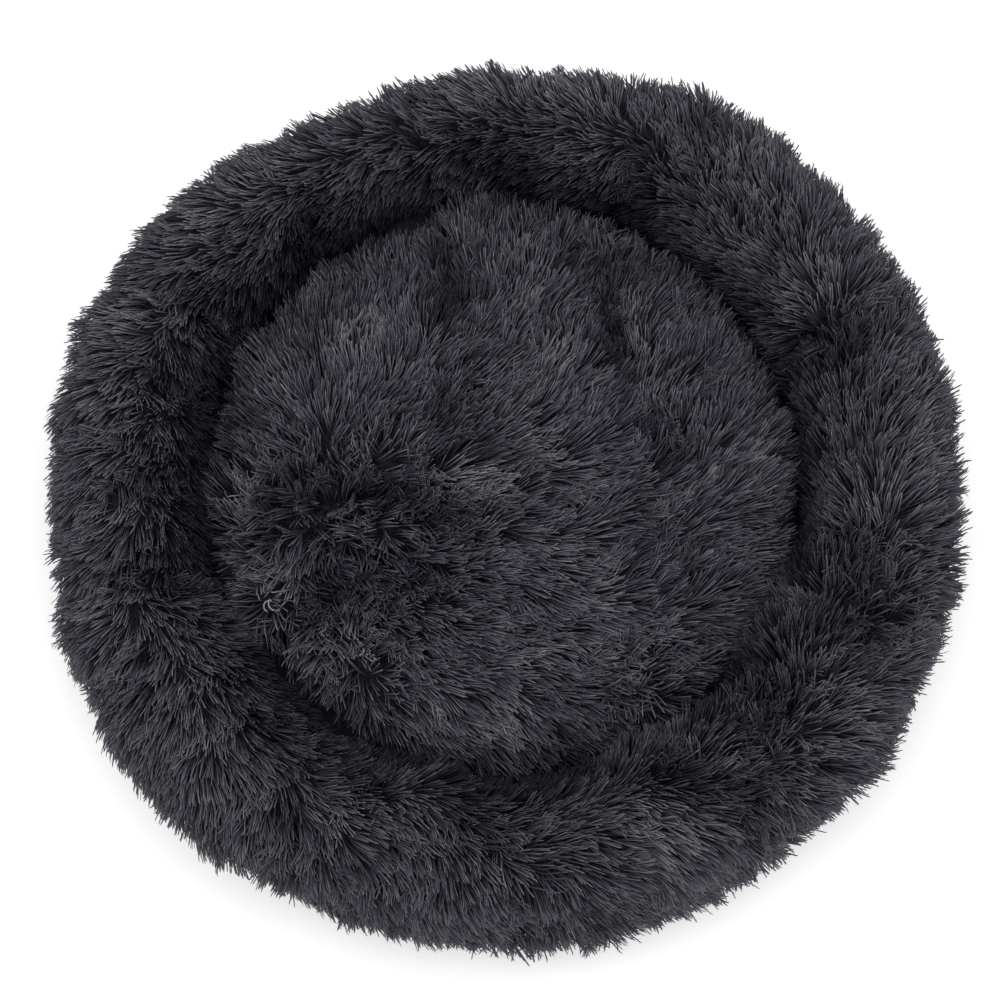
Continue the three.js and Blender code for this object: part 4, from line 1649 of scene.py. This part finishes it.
@dataclass
class Cushion:
    """The lift-out cushion: filling, lining underneath, plush on top and its pile.

    Attributes:
        pile: the pile of its top.
        core: its filling.
        tufts: x and y of each tuft, as shares of its radius.
        low: the lowest that its lining reaches.
        fill: how tight it is stuffed; not used.
        reaches: how far each tuft's thread ends reach, as a share of the longest.
        thread: half a thread's width.
        steps: how many steps a thread end has.
        coils: how far it turns, in radians, least and most.
        rises: how far it stands up before it falls, least and most.
        strides: how long a step is, least and most.
        seed: which random numbers the threads use.
    """

    pile: Pile
    core: Padding
    tufts: tuple[Point, ...]
    low: float = 0.0083
    fill: float = 0.6
    reaches: tuple[float, ...] = (1.0, 0.6, 0.4)
    thread: float = 0.00055
    steps: int = 10
    coils: Point = (1.5, 3.5)
    rises: Point = (0.01, 0.014)
    strides: Point = (0.001, 0.0015)
    seed: int = 300

    def threads(self, surface: bpy.types.Mesh) -> None:
        """Leaves the two ends of each tufting thread lying in the pile.

        Args:
            surface: the stuffed core.
        """
        rng = np.random.default_rng(self.seed)
        at = points_of(surface)
        count = self.steps + 2
        paths = []
        for tuft, reach in zip(self.tufts, self.reaches):
            spot = np.array(HOLLOW)[:2] + np.array(tuft) * CUSHION_RADIUS
            near = np.linalg.norm(at[:, :2] - spot, axis=1) - at[:, 2]
            foot = at[near.argmin()] + (0, 0, 0.002)
            for _ in range(2):
                turn = rng.uniform(0, 2 * math.pi) + np.linspace(0, rng.uniform(*self.coils), self.steps)
                fall = np.linspace(0.4, -0.4, self.steps)
                steps = np.stack((np.cos(turn), np.sin(turn), fall), 1)
                path = foot + (*rng.normal(0, 0.003, 2), 0) + np.zeros((count, 3))
                path[1:, 2] += rng.uniform(*self.rises)
                path[2:] += np.cumsum(steps * reach * rng.uniform(*self.strides), axis=0)
                paths.append(path)
        paths = np.array(paths)
        across = unit(np.cross(UP, unit(np.gradient(paths, axis=1)) + (1e-4, 0, 0)))
        blade = Blade(shares=tuple(np.linspace(0, 1, count)), widths=(1.0,) * (count - 1) + (0.0,))
        width, tone = np.full(len(paths), self.thread), np.full(len(paths), 0.5)
        mesh = blade.sweep(paths, across, width, tone)
        piece("tuft_threads", mesh, "cushion", THREAD.material("tuft_thread"))

    def build(self) -> None:
        """Builds the cushion. Its pile is split in three, to keep each piece small."""
        surface = self.pile.nap.relief.press(self.core.surface())
        self.threads(surface)
        bm = shell(surface, LINER_GAP, LINER_CLOTH, low=self.low)
        split_at(bm, UP * CUSHION_SEAM, UP, clear=True)
        cloth, finish = thickened(bm, LINER_CLOTH), LINING.material("cushion_lining")
        stands_for = ["cushion_bottom_panel"]
        piece("cushion_lining", cloth, "cushion", finish, stands_for)
        bm = shell(surface, LINER_GAP, BACKING_CLOTH)
        split_at(bm, UP * CUSHION_SEAM, -UP, clear=True)
        finish = CUSHION_PILE.material("cushion_pile")
        for number in range(3):
            third = bm.copy()
            split_at(third, HOLLOW, heading(number * 120 - 90), clear=True)
            split_at(third, HOLLOW, heading(number * 120 + 210), clear=True)
            grown = replace(self.pile, seed=self.pile.seed + number).grow(ground_of(third))
            third.free()
            piece(f"cushion_pile_{number + 1}", grown, "cushion", finish)
        cloth, finish = thickened(bm, BACKING_CLOTH), BACKING.material("cushion_backing")
        stands_for = ["cushion_top_panel"]
        piece("cushion_top", cloth, "cushion", finish, stands_for)
        finish = FIBRE.material("cushion_fibre")
        piece("cushion_fill", surface, "cushion", finish, ["cushion_filling"])


@dataclass
class Base:
    """What the bed stands on: a disc with grip dots, its wadding, the band up to the base seam and
    the lining that closes the hollow.

    Attributes:
        pitch: the distance between grip dots.
        dot: a dot's radius.
        grip: a dot's height, on which the disc lies.
        inset: how far inside the foot's edge the disc ends.
        margin: how wide a rim of the disc has no dots.
        disc_cloth: the disc's thickness.
        band_cloth: the band's thickness.
        band_flat: the band's length and width before it was sewn; not used.
        stitches: how many stitches each row of the band has.
        thread: a stitch's length and width.
        lining_radius: the hollow lining's radius.
        lining_cloth: its thickness.
    """

    pitch: float = 0.012
    dot: float = 0.0022
    grip: float = 0.0005
    inset: float = 0.0005
    margin: float = 0.006
    disc_cloth: float = 0.001
    band_cloth: float = 0.0009
    band_flat: Point = (1.66, 0.036)
    stitches: int = 396
    thread: Point = (0.0028, 0.0006)
    lining_radius: float = 0.2085
    lining_cloth: float = 0.0007

    def build(self) -> None:
        """Builds the base."""
        self.disc()
        self.band()
        self.wadding()
        self.floor()

    def disc(self) -> None:
        """Cuts the oxford disc and prints the grip dots under it, in staggered rows."""
        rim = FOOT_RADIUS - self.inset
        low, high, inside = self.grip, self.grip + self.disc_cloth, rim - self.disc_cloth
        profile = ((0, low), (inside, low), (rim, (low + high) / 2), (inside, high), (0, high))
        mesh, finish = meshed(lathe(profile), smooth=False), OXFORD.material("oxford_disc")
        disc = piece("base_disc", mesh, "bed", finish, ["base_panel"])
        bm = bmesh.new()
        stagger = 0.866
        cone = {"cap_ends": True, "segments": 6, "depth": self.grip}
        rows = int(rim / self.pitch / stagger)
        for row in range(-rows, rows + 1):
            for column in range(-rows, rows + 1):
                x, y = (column + row % 2 / 2) * self.pitch, row * self.pitch * stagger
                if math.hypot(x, y) < rim - self.margin:
                    place = Matrix.Translation((x, y, self.grip / 2))
                    bmesh.ops.create_cone(bm, radius1=self.dot * 0.6, radius2=self.dot, matrix=place, **cone)
        finish = RUBBER.material("rubber")
        piece("grip_dots", meshed(bm, smooth=False), "bed", finish)

    def band(self) -> None:
        """Wraps the band round the ring's foot, a little puckered, and sews it on."""
        profile = (
            (0.2490, 0.0004), (0.2502, 0.0030), (0.2510, 0.0060), (0.2540, 0.0082), (0.2596, 0.0104),
            (0.2629, 0.0124), (0.2666, 0.0152), (0.2695, 0.0182), (0.2714, 0.0206), (0.2726, 0.0223),
        )
        top = profile[-1][1]
        bm = lathe(profile, steps=360)
        for vert in bm.verts:
            share = math.sin(math.pi * min(1, vert.co.z / top))
            angle = math.atan2(vert.co.y, vert.co.x)
            pucker = math.sin(53 * angle) + 0.7 * math.sin(31 * angle + 1) + 0.5 * math.sin(97 * angle)
            vert.co -= vert.co.xy.normalized().to_3d() * share * (0.0004 + 0.00022 * pucker)
        cloth, finish = thickened(bm, self.band_cloth), OXFORD_BAND.material("oxford_band")
        band = piece("base_side_band", cloth, "bed", finish, ["base_band"])
        rows = []
        for number in range(self.stitches):
            way = heading(number * 360 / self.stitches)
            along = Vector((-way.y, way.x, 0))
            rows.append((way * 0.2508 + UP * 0.0048, along, way))
            rows.append((way * 0.2716 + UP * 0.0205, along, (way - UP * 0.5).normalized()))
        finish = DARK_THREAD.material("base_thread")
        piece("base_stitches", stitches(rows, *self.thread), "bed", finish)

    def wadding(self) -> None:
        """Lays the wadding between the disc and the floor lining."""
        low, high = 0.0019, 0.0059
        profile = ((0, low), (0.236, low), (0.2395, 0.0030), (0.2395, 0.0048), (0.236, high), (0, high))
        bm = ruffled(lathe(profile), cuts=24, height=0.0002, size=0.03, seed=11, under=-0.3)
        mesh, finish = meshed(bm), FIBRE.material("wadding")
        piece("base_wadding_disc", mesh, "bed", finish, ["base_wadding"])

    def floor(self) -> None:
        """Lays the lining in the hollow, slightly wavy."""
        radius, high = self.lining_radius, 0.0076
        bm = lathe(((0, high), (radius, high)), centre=HOLLOW)
        bm = ruffled(bm, cuts=30, height=0.00012, size=0.05, seed=12)
        bmesh.ops.recalc_face_normals(bm, faces=bm.faces)
        cloth, finish = thickened(bm, self.lining_cloth), LINING.material("hollow_lining")
        lining = piece("hollow_lining", cloth, "bed", finish, ["floor_panel"])


@dataclass
class Zip:
    """The zip in the rear base seam, which follows the seam's arc.

    Attributes:
        under: how far the tapes run on under the plush, in degrees.
        tack: how far a bar tack lies past its stop, in degrees.
        past: how far the tapes stay apart past the middle of a stop, in degrees.
        cloth: a tape's thickness.
        proud: how far its outer face stands out past the zip's radius.
        steps: how many steps a tape has along the arc.
        rows: how many rows of points it has across.
        flat: a tape's length and width; not used.
        insets: how far each row of stitches lies in from the tape's outer edge.
        stitches: how many stitches a row has.
        start: how far inside the window a row begins, in degrees.
        thread: a stitch's length and width.
        bars: how many stitches a bar tack has on each side of its middle.
        apart: how far apart they are, in degrees.
        bar: such a stitch's length and width.
    """

    under: float = 0.6
    tack: float = 0.9
    past: float = 0.35
    cloth: float = 0.0008
    proud: float = 0.0004
    steps: int = 186
    rows: int = 7
    flat: Point = (0.36, 0.0104)
    insets: Point = (0.0016, 0.0034)
    stitches: int = 115
    start: float = 1
    thread: Point = (0.0022, 0.0005)
    bars: int = 4
    apart: float = 0.1
    bar: Point = (0.0075, 0.0006)

    def radius(self, z: float) -> float:
        """Returns the radius of the tapes' outer face at a height."""
        return ZIP_RADIUS + self.proud + (z - ZIP_MIDDLE) * math.tan(math.radians(ZIP_TILT))

    def on_tape(self, angle: float, z: float) -> tuple[Vector, Vector, Vector, Vector]:
        """Finds a place on the tapes.

        Args:
            angle: its angle about the bed's axis, in degrees.
            z: its height.

        Returns:
            The place, the way along the zip, the way up the tape and the way out of it.
        """
        way = heading(angle)
        along = Vector((-way.y, way.x, 0))
        out = (way - UP * math.sin(math.radians(ZIP_TILT))).normalized()
        return way * self.radius(z) + UP * z, along, out.cross(along), out

    def ends(self) -> tuple[float, float]:
        """Finds where the tapes come together past the stops.

        Returns:
            The two angles.
        """
        angles_there = []
        for node, past in (("zip_bottom_stop", -self.past), ("zip_top_stop_upper", self.past)):
            low, high = (Vector(corner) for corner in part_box(node))
            angles_there.append(angle_of((low + high) / 2) + past)
        return angles_there[0], angles_there[1]

    def tape(self, word: str) -> None:
        """Weaves one tape and sews it on.

        Args:
            word: upper or lower.
        """
        low, high = (corner[2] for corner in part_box(f"zip_tape_{word}"))
        side = 1 if word == "upper" else -1
        inner, outer = (low - 0.0008, high - 0.0002) if side > 0 else (high + 0.0008, low + 0.0002)
        heights = [ZIP_MIDDLE + side * 0.0001, *np.linspace(inner, outer, self.rows)]
        sweep = ZIP_TO - ZIP_FROM + 2 * self.under
        profile = [(self.radius(z), z) for z in heights[::side]]
        bm = lathe(profile, ZIP_FROM - self.under, sweep, self.steps)
        first, last = self.ends()
        room = abs(inner - ZIP_MIDDLE)
        drop_faces(bm, lambda f, c: abs(c.z - ZIP_MIDDLE) < room and first < angle_of(c) < last)
        cloth, finish = thickened(bm, self.cloth), TAPE.material(f"tape_{word}")
        tape = piece(f"zip_tape_{word}_cloth", cloth, "bed", finish, [f"zip_tape_{word}"])
        places = []
        run = ZIP_TO - ZIP_FROM - 2 * self.start
        for inset in self.insets:
            for number in range(self.stitches):
                angle = ZIP_FROM + self.start + number * run / (self.stitches - 1)
                place, along, _, out = self.on_tape(angle, outer - side * inset)
                places.append((place, along, out))
        finish = DARK_THREAD.material(f"tape_thread_{word}")
        piece(f"zip_stitches_{word}", stitches(places, *self.thread), "bed", finish)

    def tacks(self) -> None:
        """Sews the tapes together past each stop with a bar tack."""
        first, last = self.ends()
        places = []
        for middle in (first - self.tack, last + self.tack):
            for number in range(-self.bars, self.bars + 1):
                place, _, up, out = self.on_tape(middle + number * self.apart, ZIP_MIDDLE)
                places.append((place, up, out))
        finish = DARK_THREAD.material("tack_thread")
        piece("zip_bar_tacks", stitches(places, *self.bar), "bed", finish)

    def build(self) -> None:
        """Builds the zip: tapes, teeth, stops, slider and pull."""
        self.tape("upper")
        self.tape("lower")
        self.tacks()
        acetal = ACETAL.material("acetal")
        for word in ("teeth_upper", "teeth_lower", "top_stop_upper", "top_stop_lower", "bottom_stop"):
            node = f"zip_{word}"
            piece(f"{node}_rounded", bevelled(node, 0.00025), "bed", acetal, [node])
        alloy = ALLOY.material("alloy")
        for word in ("slider", "pull"):
            node = f"zip_{word}"
            piece(f"{node}_rounded", bevelled(node, 0.00035, 3), word, alloy, [node])


@dataclass
class Studio:
    """The white sweep, the light and the camera at the photograph's angle.

    Attributes:
        elevation: how steeply the camera looks down, in degrees.
        distance: how far it is from what it looks at.
        seen: how wide a strip it sees there.
        target: what it looks at.
        sensor: the width of its sensor, in millimetres.
        lamps: name, place, size and power of each soft box.
        dome: how bright the white all round is for the bed.
    """

    elevation: float = 77.0
    distance: float = 1.8
    seen: float = 0.6486
    target: tuple[float, float, float] = (-0.0036, 0.0, 0.055)
    sensor: float = 36
    lamps: tuple[tuple[str, tuple[float, float, float], float, float], ...] = (
        ("soft_box_top", (-0.1, 0.1, 2.1), 2.0, 17),
        ("soft_box_front", (0.6, -1.7, 1.5), 1.4, 6),
    )
    dome: float = 0.7

    def camera(self) -> None:
        """Looks down at the bed from the front, steeply."""
        data = bpy.data.cameras.new("camera")
        data.lens = self.sensor * self.distance / self.seen
        made = linked("camera", data)
        tilt = math.radians(self.elevation)
        back = Vector((0, -math.cos(tilt), math.sin(tilt)))
        made.location = Vector(self.target) + back * self.distance
        made.rotation_euler = (-back).to_track_quat("-Z", "Y").to_euler()
        bpy.context.scene.camera = made

    def floor(self) -> None:
        """Lays the white paper that the bed stands on."""
        bm = bmesh.new()
        bmesh.ops.create_grid(bm, x_segments=8, y_segments=8, size=6)
        paper = linked("floor", meshed(bm))
        paper.data.materials.append(PAPER.material("paper"))

    def lights(self) -> None:
        """Hangs a large soft box over the bed and one at its front."""
        for name, place, size, power in self.lamps:
            data = bpy.data.lights.new(name, "AREA")
            data.shape = "DISK"
            data.size = size
            data.energy = power
            made = linked(name, data)
            made.location = place
            made.rotation_euler = (-Vector(place)).to_track_quat("-Z", "Y").to_euler()

    def world(self) -> None:
        """Fills the rest with white, which the camera sees as pure white."""
        world = bpy.data.worlds.new("studio")
        world.use_nodes = True
        tree = world.node_tree
        back = tree.nodes["Background"]
        limits = {"To Min": self.dome, "To Max": 1.0}
        strength = add_node(tree, "MapRange", {"Value": seen_rays(tree), **limits})["Result"]
        tree.links.new(strength, back.inputs["Strength"])
        back.inputs["Color"].default_value = linear("#ffffff")
        bpy.context.scene.world = world

    def build(self) -> None:
        """Sets the whole studio up."""
        self.camera()
        self.floor()
        self.lights()
        self.world()
        bpy.context.scene.view_settings.view_transform = "Standard"


def ring_seams(at: np.ndarray) -> np.ndarray:
    """Holds the ring's core at its creases and on its foot.

    Args:
        at: the core's points.

    Returns:
        How firmly each one is held, from 0 to 1.
    """
    apart = np.min([np.abs((angles(at) - c + 180) % 360 - 180) for c in CREASES], axis=0)
    return np.maximum(bell(apart, 3.5), at[:, 2] < 0.012)


def cushion_seams(at: np.ndarray) -> np.ndarray:
    """Holds the cushion's core at its tufts, its seam and its flat underside.

    Args:
        at: the core's points.

    Returns:
        How firmly each one is held, from 0 to 1.
    """
    plan = from_hollow(at)[:, :2] / CUSHION_RADIUS
    near = np.min([np.linalg.norm(plan - t, axis=1) for t in TUFTS], axis=0)
    tuft = bell(near, 0.09) * (at[:, 2] > 0.03)
    seam = bell(at[:, 2] - CUSHION_SEAM, 0.006)
    return np.maximum.reduce((tuft, seam, at[:, 2] < 0.014))


# Where the plush stands out, is pinched or folded, and how it is brushed

# The cushion's tufts, as shares of its radius
TUFTS = ((-0.8, -0.44), (-0.52, -0.65), (0.43, -0.72))
# How far the outer wall stands out at each angle
GIRTH = (
    (3, -0.007), (15, 0), (25, 0.01), (35, 0.004), (48, -0.0025), (55, 0), (63, 0.014), (75, -0.003),
    (84, -0.011), (95, 0.001), (102, 0.009), (122, -0.004), (140, 0.001), (148, 0.01), (160, 0.008),
    (170, 0.0025), (185, 0.002), (197, 0.007), (208, 0.002), (216, 0.0065), (223, 0.003), (232, 0.01),
    (240, 0.004), (249, -0.007), (259, 0), (272, -0.01), (280, -0.006), (289, -0.013), (305, -0.004),
    (320, 0.003), (328, -0.002), (338, -0.002), (350, 0.0065), (356, 0.001),
)
# The same for the cushion's rim: the flap that laps over the ring's foot, and the bulging left side
BRIM = (
    (0, 0.001), (60, 0), (86, 0.002), (92, 0.012), (97, 0.012), (101, -0.006), (106, -0.009), (114, -0.006),
    (124, -0.002), (132, 0), (165, 0.004), (190, 0.005), (205, 0.002), (225, -0.003), (245, 0), (350, 0.002),
)
# Dents of the ring, in plan: the ends of each, its half width and its depth, which also sets the painted
# shade of the pile over it
RING_DENTS = (
    # Where the inner wall is pinched in against the cushion, clockwise from the left
    (-0.196, -0.055, -0.196, 0.06, 0.009, 0.012), (-0.19, 0.075, -0.17, 0.095, 0.012, 0.011),
    (-0.17, 0.11, -0.165, 0.12, 0.012, 0.011), (-0.13, 0.16, -0.09, 0.155, 0.014, 0.011),
    (-0.065, 0.18, -0.055, 0.17, 0.01, 0.011), (-0.005, 0.19, 0.085, 0.18, 0.011, 0.011),
    (0.11, 0.15, 0.15, 0.1, 0.008, 0.012), (0.185, 0.05, 0.183, -0.055, 0.008, 0.01),
    (0.17, -0.135, 0.15, -0.11, 0.016, 0.009), (0.13, -0.14, 0.13, -0.14, 0.008, 0.01),
    (0.105, -0.185, 0.095, -0.17, 0.008, 0.008), (0.07, -0.18, 0.07, -0.18, 0.006, 0.01),
    (0.05, -0.185, -0.02, -0.187, 0.013, 0.012), (-0.05, -0.165, -0.07, -0.17, 0.008, 0.01),
    (-0.1, -0.155, -0.12, -0.14, 0.012, 0.009), (-0.13, -0.13, -0.15, -0.11, 0.012, 0.009),
    # Where the seams sink into the crest
    (-0.24, -0.005, -0.21, 0.005, 0.013, 0.005), (-0.225, 0.065, -0.195, 0.065, 0.012, 0.006),
    (-0.215, 0.125, -0.18, 0.115, 0.012, 0.006), (-0.13, 0.18, -0.125, 0.185, 0.009, 0.005),
    (-0.03, 0.215, 0.01, 0.215, 0.012, 0.007), (0.085, 0.215, 0.08, 0.19, 0.013, 0.008),
    (0.125, 0.225, 0.135, 0.24, 0.011, 0.006), (0.18, 0.09, 0.22, 0.095, 0.014, 0.011),
    (0.22, -0.05, 0.23, -0.08, 0.016, 0.009), (0.195, -0.085, 0.225, -0.105, 0.013, 0.008),
    (0.16, -0.16, 0.16, -0.185, 0.014, 0.007), (0.145, -0.195, 0.12, -0.19, 0.012, 0.006),
    (-0.005, -0.225, -0.015, -0.22, 0.013, 0.006), (-0.085, -0.185, -0.095, -0.175, 0.012, 0.007),
    (-0.135, -0.16, -0.155, -0.145, 0.014, 0.005), (-0.23, -0.06, -0.185, -0.06, 0.012, 0.008),
    # Sags of the outer wall at the front
    (0.065, -0.275, 0.05, -0.27, 0.007, 0.008), (0.01, -0.275, 0.01, -0.275, 0.008, 0.006),
    (-0.065, -0.25, -0.1, -0.245, 0.009, 0.004), (-0.12, -0.225, -0.14, -0.215, 0.01, 0.005),
    (-0.22, -0.115, -0.225, -0.13, 0.009, 0.005),
)
# Swellings of the ring between its seams, which also give painted light to the pile over them
RING_SWELLINGS = (
    (-0.26, -0.08, -0.255, -0.1, 0.012, -0.004), (-0.265, 0.045, -0.255, 0.05, 0.012, -0.004),
    (-0.26, 0.095, -0.255, 0.11, 0.012, -0.005), (-0.21, 0.16, -0.18, 0.185, 0.013, -0.005),
    (-0.165, 0.205, -0.155, 0.205, 0.013, -0.004), (-0.06, 0.215, -0.06, 0.215, 0.008, -0.003),
    (-0.03, 0.265, 0.07, 0.26, 0.013, -0.005), (0.155, 0.24, 0.17, 0.215, 0.009, -0.004),
    (0.14, 0.155, 0.15, 0.16, 0.015, -0.005), (0.2, 0.14, 0.185, 0.11, 0.016, -0.005),
    (0.265, 0.06, 0.27, 0.005, 0.011, -0.005), (0.235, -0.005, 0.23, -0.015, 0.01, -0.006),
    (0.27, -0.085, 0.265, -0.1, 0.009, -0.004), (0.22, -0.14, 0.215, -0.165, 0.012, -0.004),
    (0.11, -0.23, 0.105, -0.245, 0.014, -0.007), (0.085, -0.215, 0.085, -0.21, 0.014, -0.005),
    (0.045, -0.245, 0.045, -0.245, 0.007, -0.004), (0.01, -0.25, -0.015, -0.26, 0.01, -0.004),
    (-0.05, -0.2, -0.065, -0.205, 0.008, -0.005), (-0.095, -0.215, -0.105, -0.225, 0.008, -0.006),
    (-0.18, -0.2, -0.19, -0.135, 0.009, -0.003),
)
# Folds and dips of the cushion, which also give painted shade to the pile over them
CUSHION_FOLDS = (
    # The rear, with the long fold that runs forwards on the right
    (-0.045, 0.165, -0.035, 0.125, 0.012, 0.008), (0.045, 0.165, 0.085, 0.15, 0.014, 0.005),
    (0.06, 0.145, 0.07, 0.1, 0.008, 0.008), (0.07, 0.1, 0.08, 0.065, 0.008, 0.007),
    (0.095, 0.045, 0.11, 0.015, 0.009, 0.008), (0.095, -0.02, 0.085, -0.065, 0.009, 0.005),
    # The left and the middle
    (-0.19, 0.04, -0.165, 0.05, 0.009, 0.005), (-0.14, 0, -0.06, 0, 0.014, 0.007),
    (-0.155, -0.005, -0.155, -0.04, 0.007, 0.007), (-0.04, 0.06, -0.035, 0.035, 0.01, 0.006),
    (-0.05, -0.02, -0.035, -0.02, 0.01, 0.007), (-0.11, -0.06, -0.06, -0.055, 0.018, 0.007),
    # Round the tufts at the front
    (-0.125, -0.08, -0.115, -0.07, 0.012, 0.006), (0.07, -0.125, 0.07, -0.125, 0.009, 0.014),
    (0.115, -0.055, 0.115, -0.045, 0.009, 0.005),
)
# Ridges of the cushion between them, which also give painted light to the pile over them
CUSHION_RIDGES = (
    (-0.13, 0.14, -0.125, 0.145, 0.008, -0.005), (-0.105, 0.085, -0.09, 0.11, 0.017, -0.006),
    (-0.155, 0.085, -0.14, 0.065, 0.009, -0.005), (-0.18, -0.005, -0.17, 0.01, 0.011, -0.007),
    (-0.17, -0.065, -0.145, -0.07, 0.012, -0.006), (-0.03, 0.185, -0.03, 0.175, 0.01, -0.006),
    (0.01, 0.165, 0.02, 0.135, 0.009, -0.006), (0.08, 0.12, 0.09, 0.095, 0.012, -0.005),
    (0.035, 0.095, 0.03, 0.075, 0.013, -0.006), (0.06, 0.065, 0.06, 0.065, 0.008, -0.007),
    (0.11, 0.06, 0.11, 0.06, 0.008, -0.005), (0.015, 0.045, 0.025, 0.035, 0.016, -0.005),
    (-0.04, 0.01, 0, 0, 0.01, -0.01), (0.03, 0.015, 0.035, 0.015, 0.012, -0.005),
    (0.135, 0.02, 0.135, 0.02, 0.008, -0.005), (0.17, 0.01, 0.165, 0.035, 0.01, -0.006),
    (0.175, -0.03, 0.175, -0.03, 0.006, -0.005), (-0.01, -0.025, -0.01, -0.025, 0.008, -0.005),
    (0.035, -0.045, 0.065, -0.07, 0.019, -0.005), (-0.09, -0.105, -0.075, -0.125, 0.008, -0.007),
    (-0.065, -0.145, -0.035, -0.15, 0.009, -0.005), (0.005, -0.115, 0.035, -0.105, 0.01, -0.005),
    (-0.005, -0.155, 0.01, -0.145, 0.013, -0.007),
)
# Which way the cushion's pile is brushed, from the rear to the front
COMBED = (
    (0, 0.95, 100), (-0.2, 0.8, 95), (-0.05, 0.8, 100), (0.3, 0.75, 55), (-0.65, 0.7, 100),
    (0.55, 0.6, 70), (-0.5, 0.55, 95), (-0.3, 0.55, 95), (-0.15, 0.45, 55), (0.2, 0.45, 65),
    (-0.85, 0.35, 115), (0.7, 0.35, 65), (0.9, 0.35, 50), (-0.1, 0.3, 40), (0.05, 0.3, 50),
    (0.25, 0.2, 70), (0.65, 0.15, 80), (-0.95, 0.1, 125), (0.95, 0.1, 25), (-0.45, 0.05, 65),
    (-0.7, 0, 130), (-0.55, 0, 80), (-0.35, 0, 45), (-0.1, 0, 15), (0.2, 0, 10),
    (-1, -0.05, 150), (-0.85, -0.05, 130), (-1, -0.15, 170), (-0.2, -0.15, 15), (0, -0.15, 10),
    (-0.7, -0.2, -110), (-0.5, -0.2, -50), (-0.35, -0.2, -20), (0.95, -0.2, 25), (0.2, -0.25, 10),
    (-1, -0.3, 165), (-0.9, -0.35, 165), (0.9, -0.35, 20), (-0.25, -0.4, -20), (0.5, -0.4, 45),
    (0, -0.45, -30), (-0.95, -0.5, 170), (-0.6, -0.5, -60), (-0.45, -0.5, -15), (0.85, -0.5, 15),
    (-0.7, -0.6, -90), (-0.25, -0.6, -5), (-0.9, -0.65, -125), (0.15, -0.65, -10), (0.65, -0.7, 5),
    (0.8, -0.75, -20), (-0.7, -0.85, -110), (-0.3, -0.85, -40), (-0.6, -0.9, -95), (0.35, -0.9, -10),
    (-0.15, -0.95, -50), (0, -1, -70), (0.35, -1, -20),
)


def main() -> None:
    """Builds the bed and its studio, in order."""
    logging.basicConfig(level=logging.INFO, format="%(message)s")
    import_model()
    Studio().build()
    ring_relief = Relief(
        strokes=RING_DENTS + RING_SWELLINGS, girth=GIRTH, low=0.05, shoulder=(0.222, 0.015, 0.002)
    )
    ring_pile = Pile(
        nap=RingNap(relief=ring_relief),
        spacing=0.00198,
        length=0.026,
        width=0.00059,
        lean=(42, 82),
        tone=0.46,
        seed=100,
    )
    Bolster(pile=ring_pile, core=Padding(node="bolster_filling", voxel=0.0064, seams=ring_seams)).build()
    cushion_relief = Relief(strokes=CUSHION_FOLDS + CUSHION_RIDGES, girth=BRIM, low=0.022)
    cushion_pile = Pile(
        nap=CushionNap(relief=cushion_relief, spots=COMBED, tufts=TUFTS),
        spacing=0.00194,
        length=0.027,
        width=0.00064,
        lean=(38, 80),
        tone=0.39,
        seed=200,
    )
    cushion_core = Padding(node="cushion_filling", voxel=0.005, seams=cushion_seams)
    Cushion(pile=cushion_pile, core=cushion_core, tufts=TUFTS).build()
    Base().build()
    Zip().build()


if __name__ == "__main__":
    main()
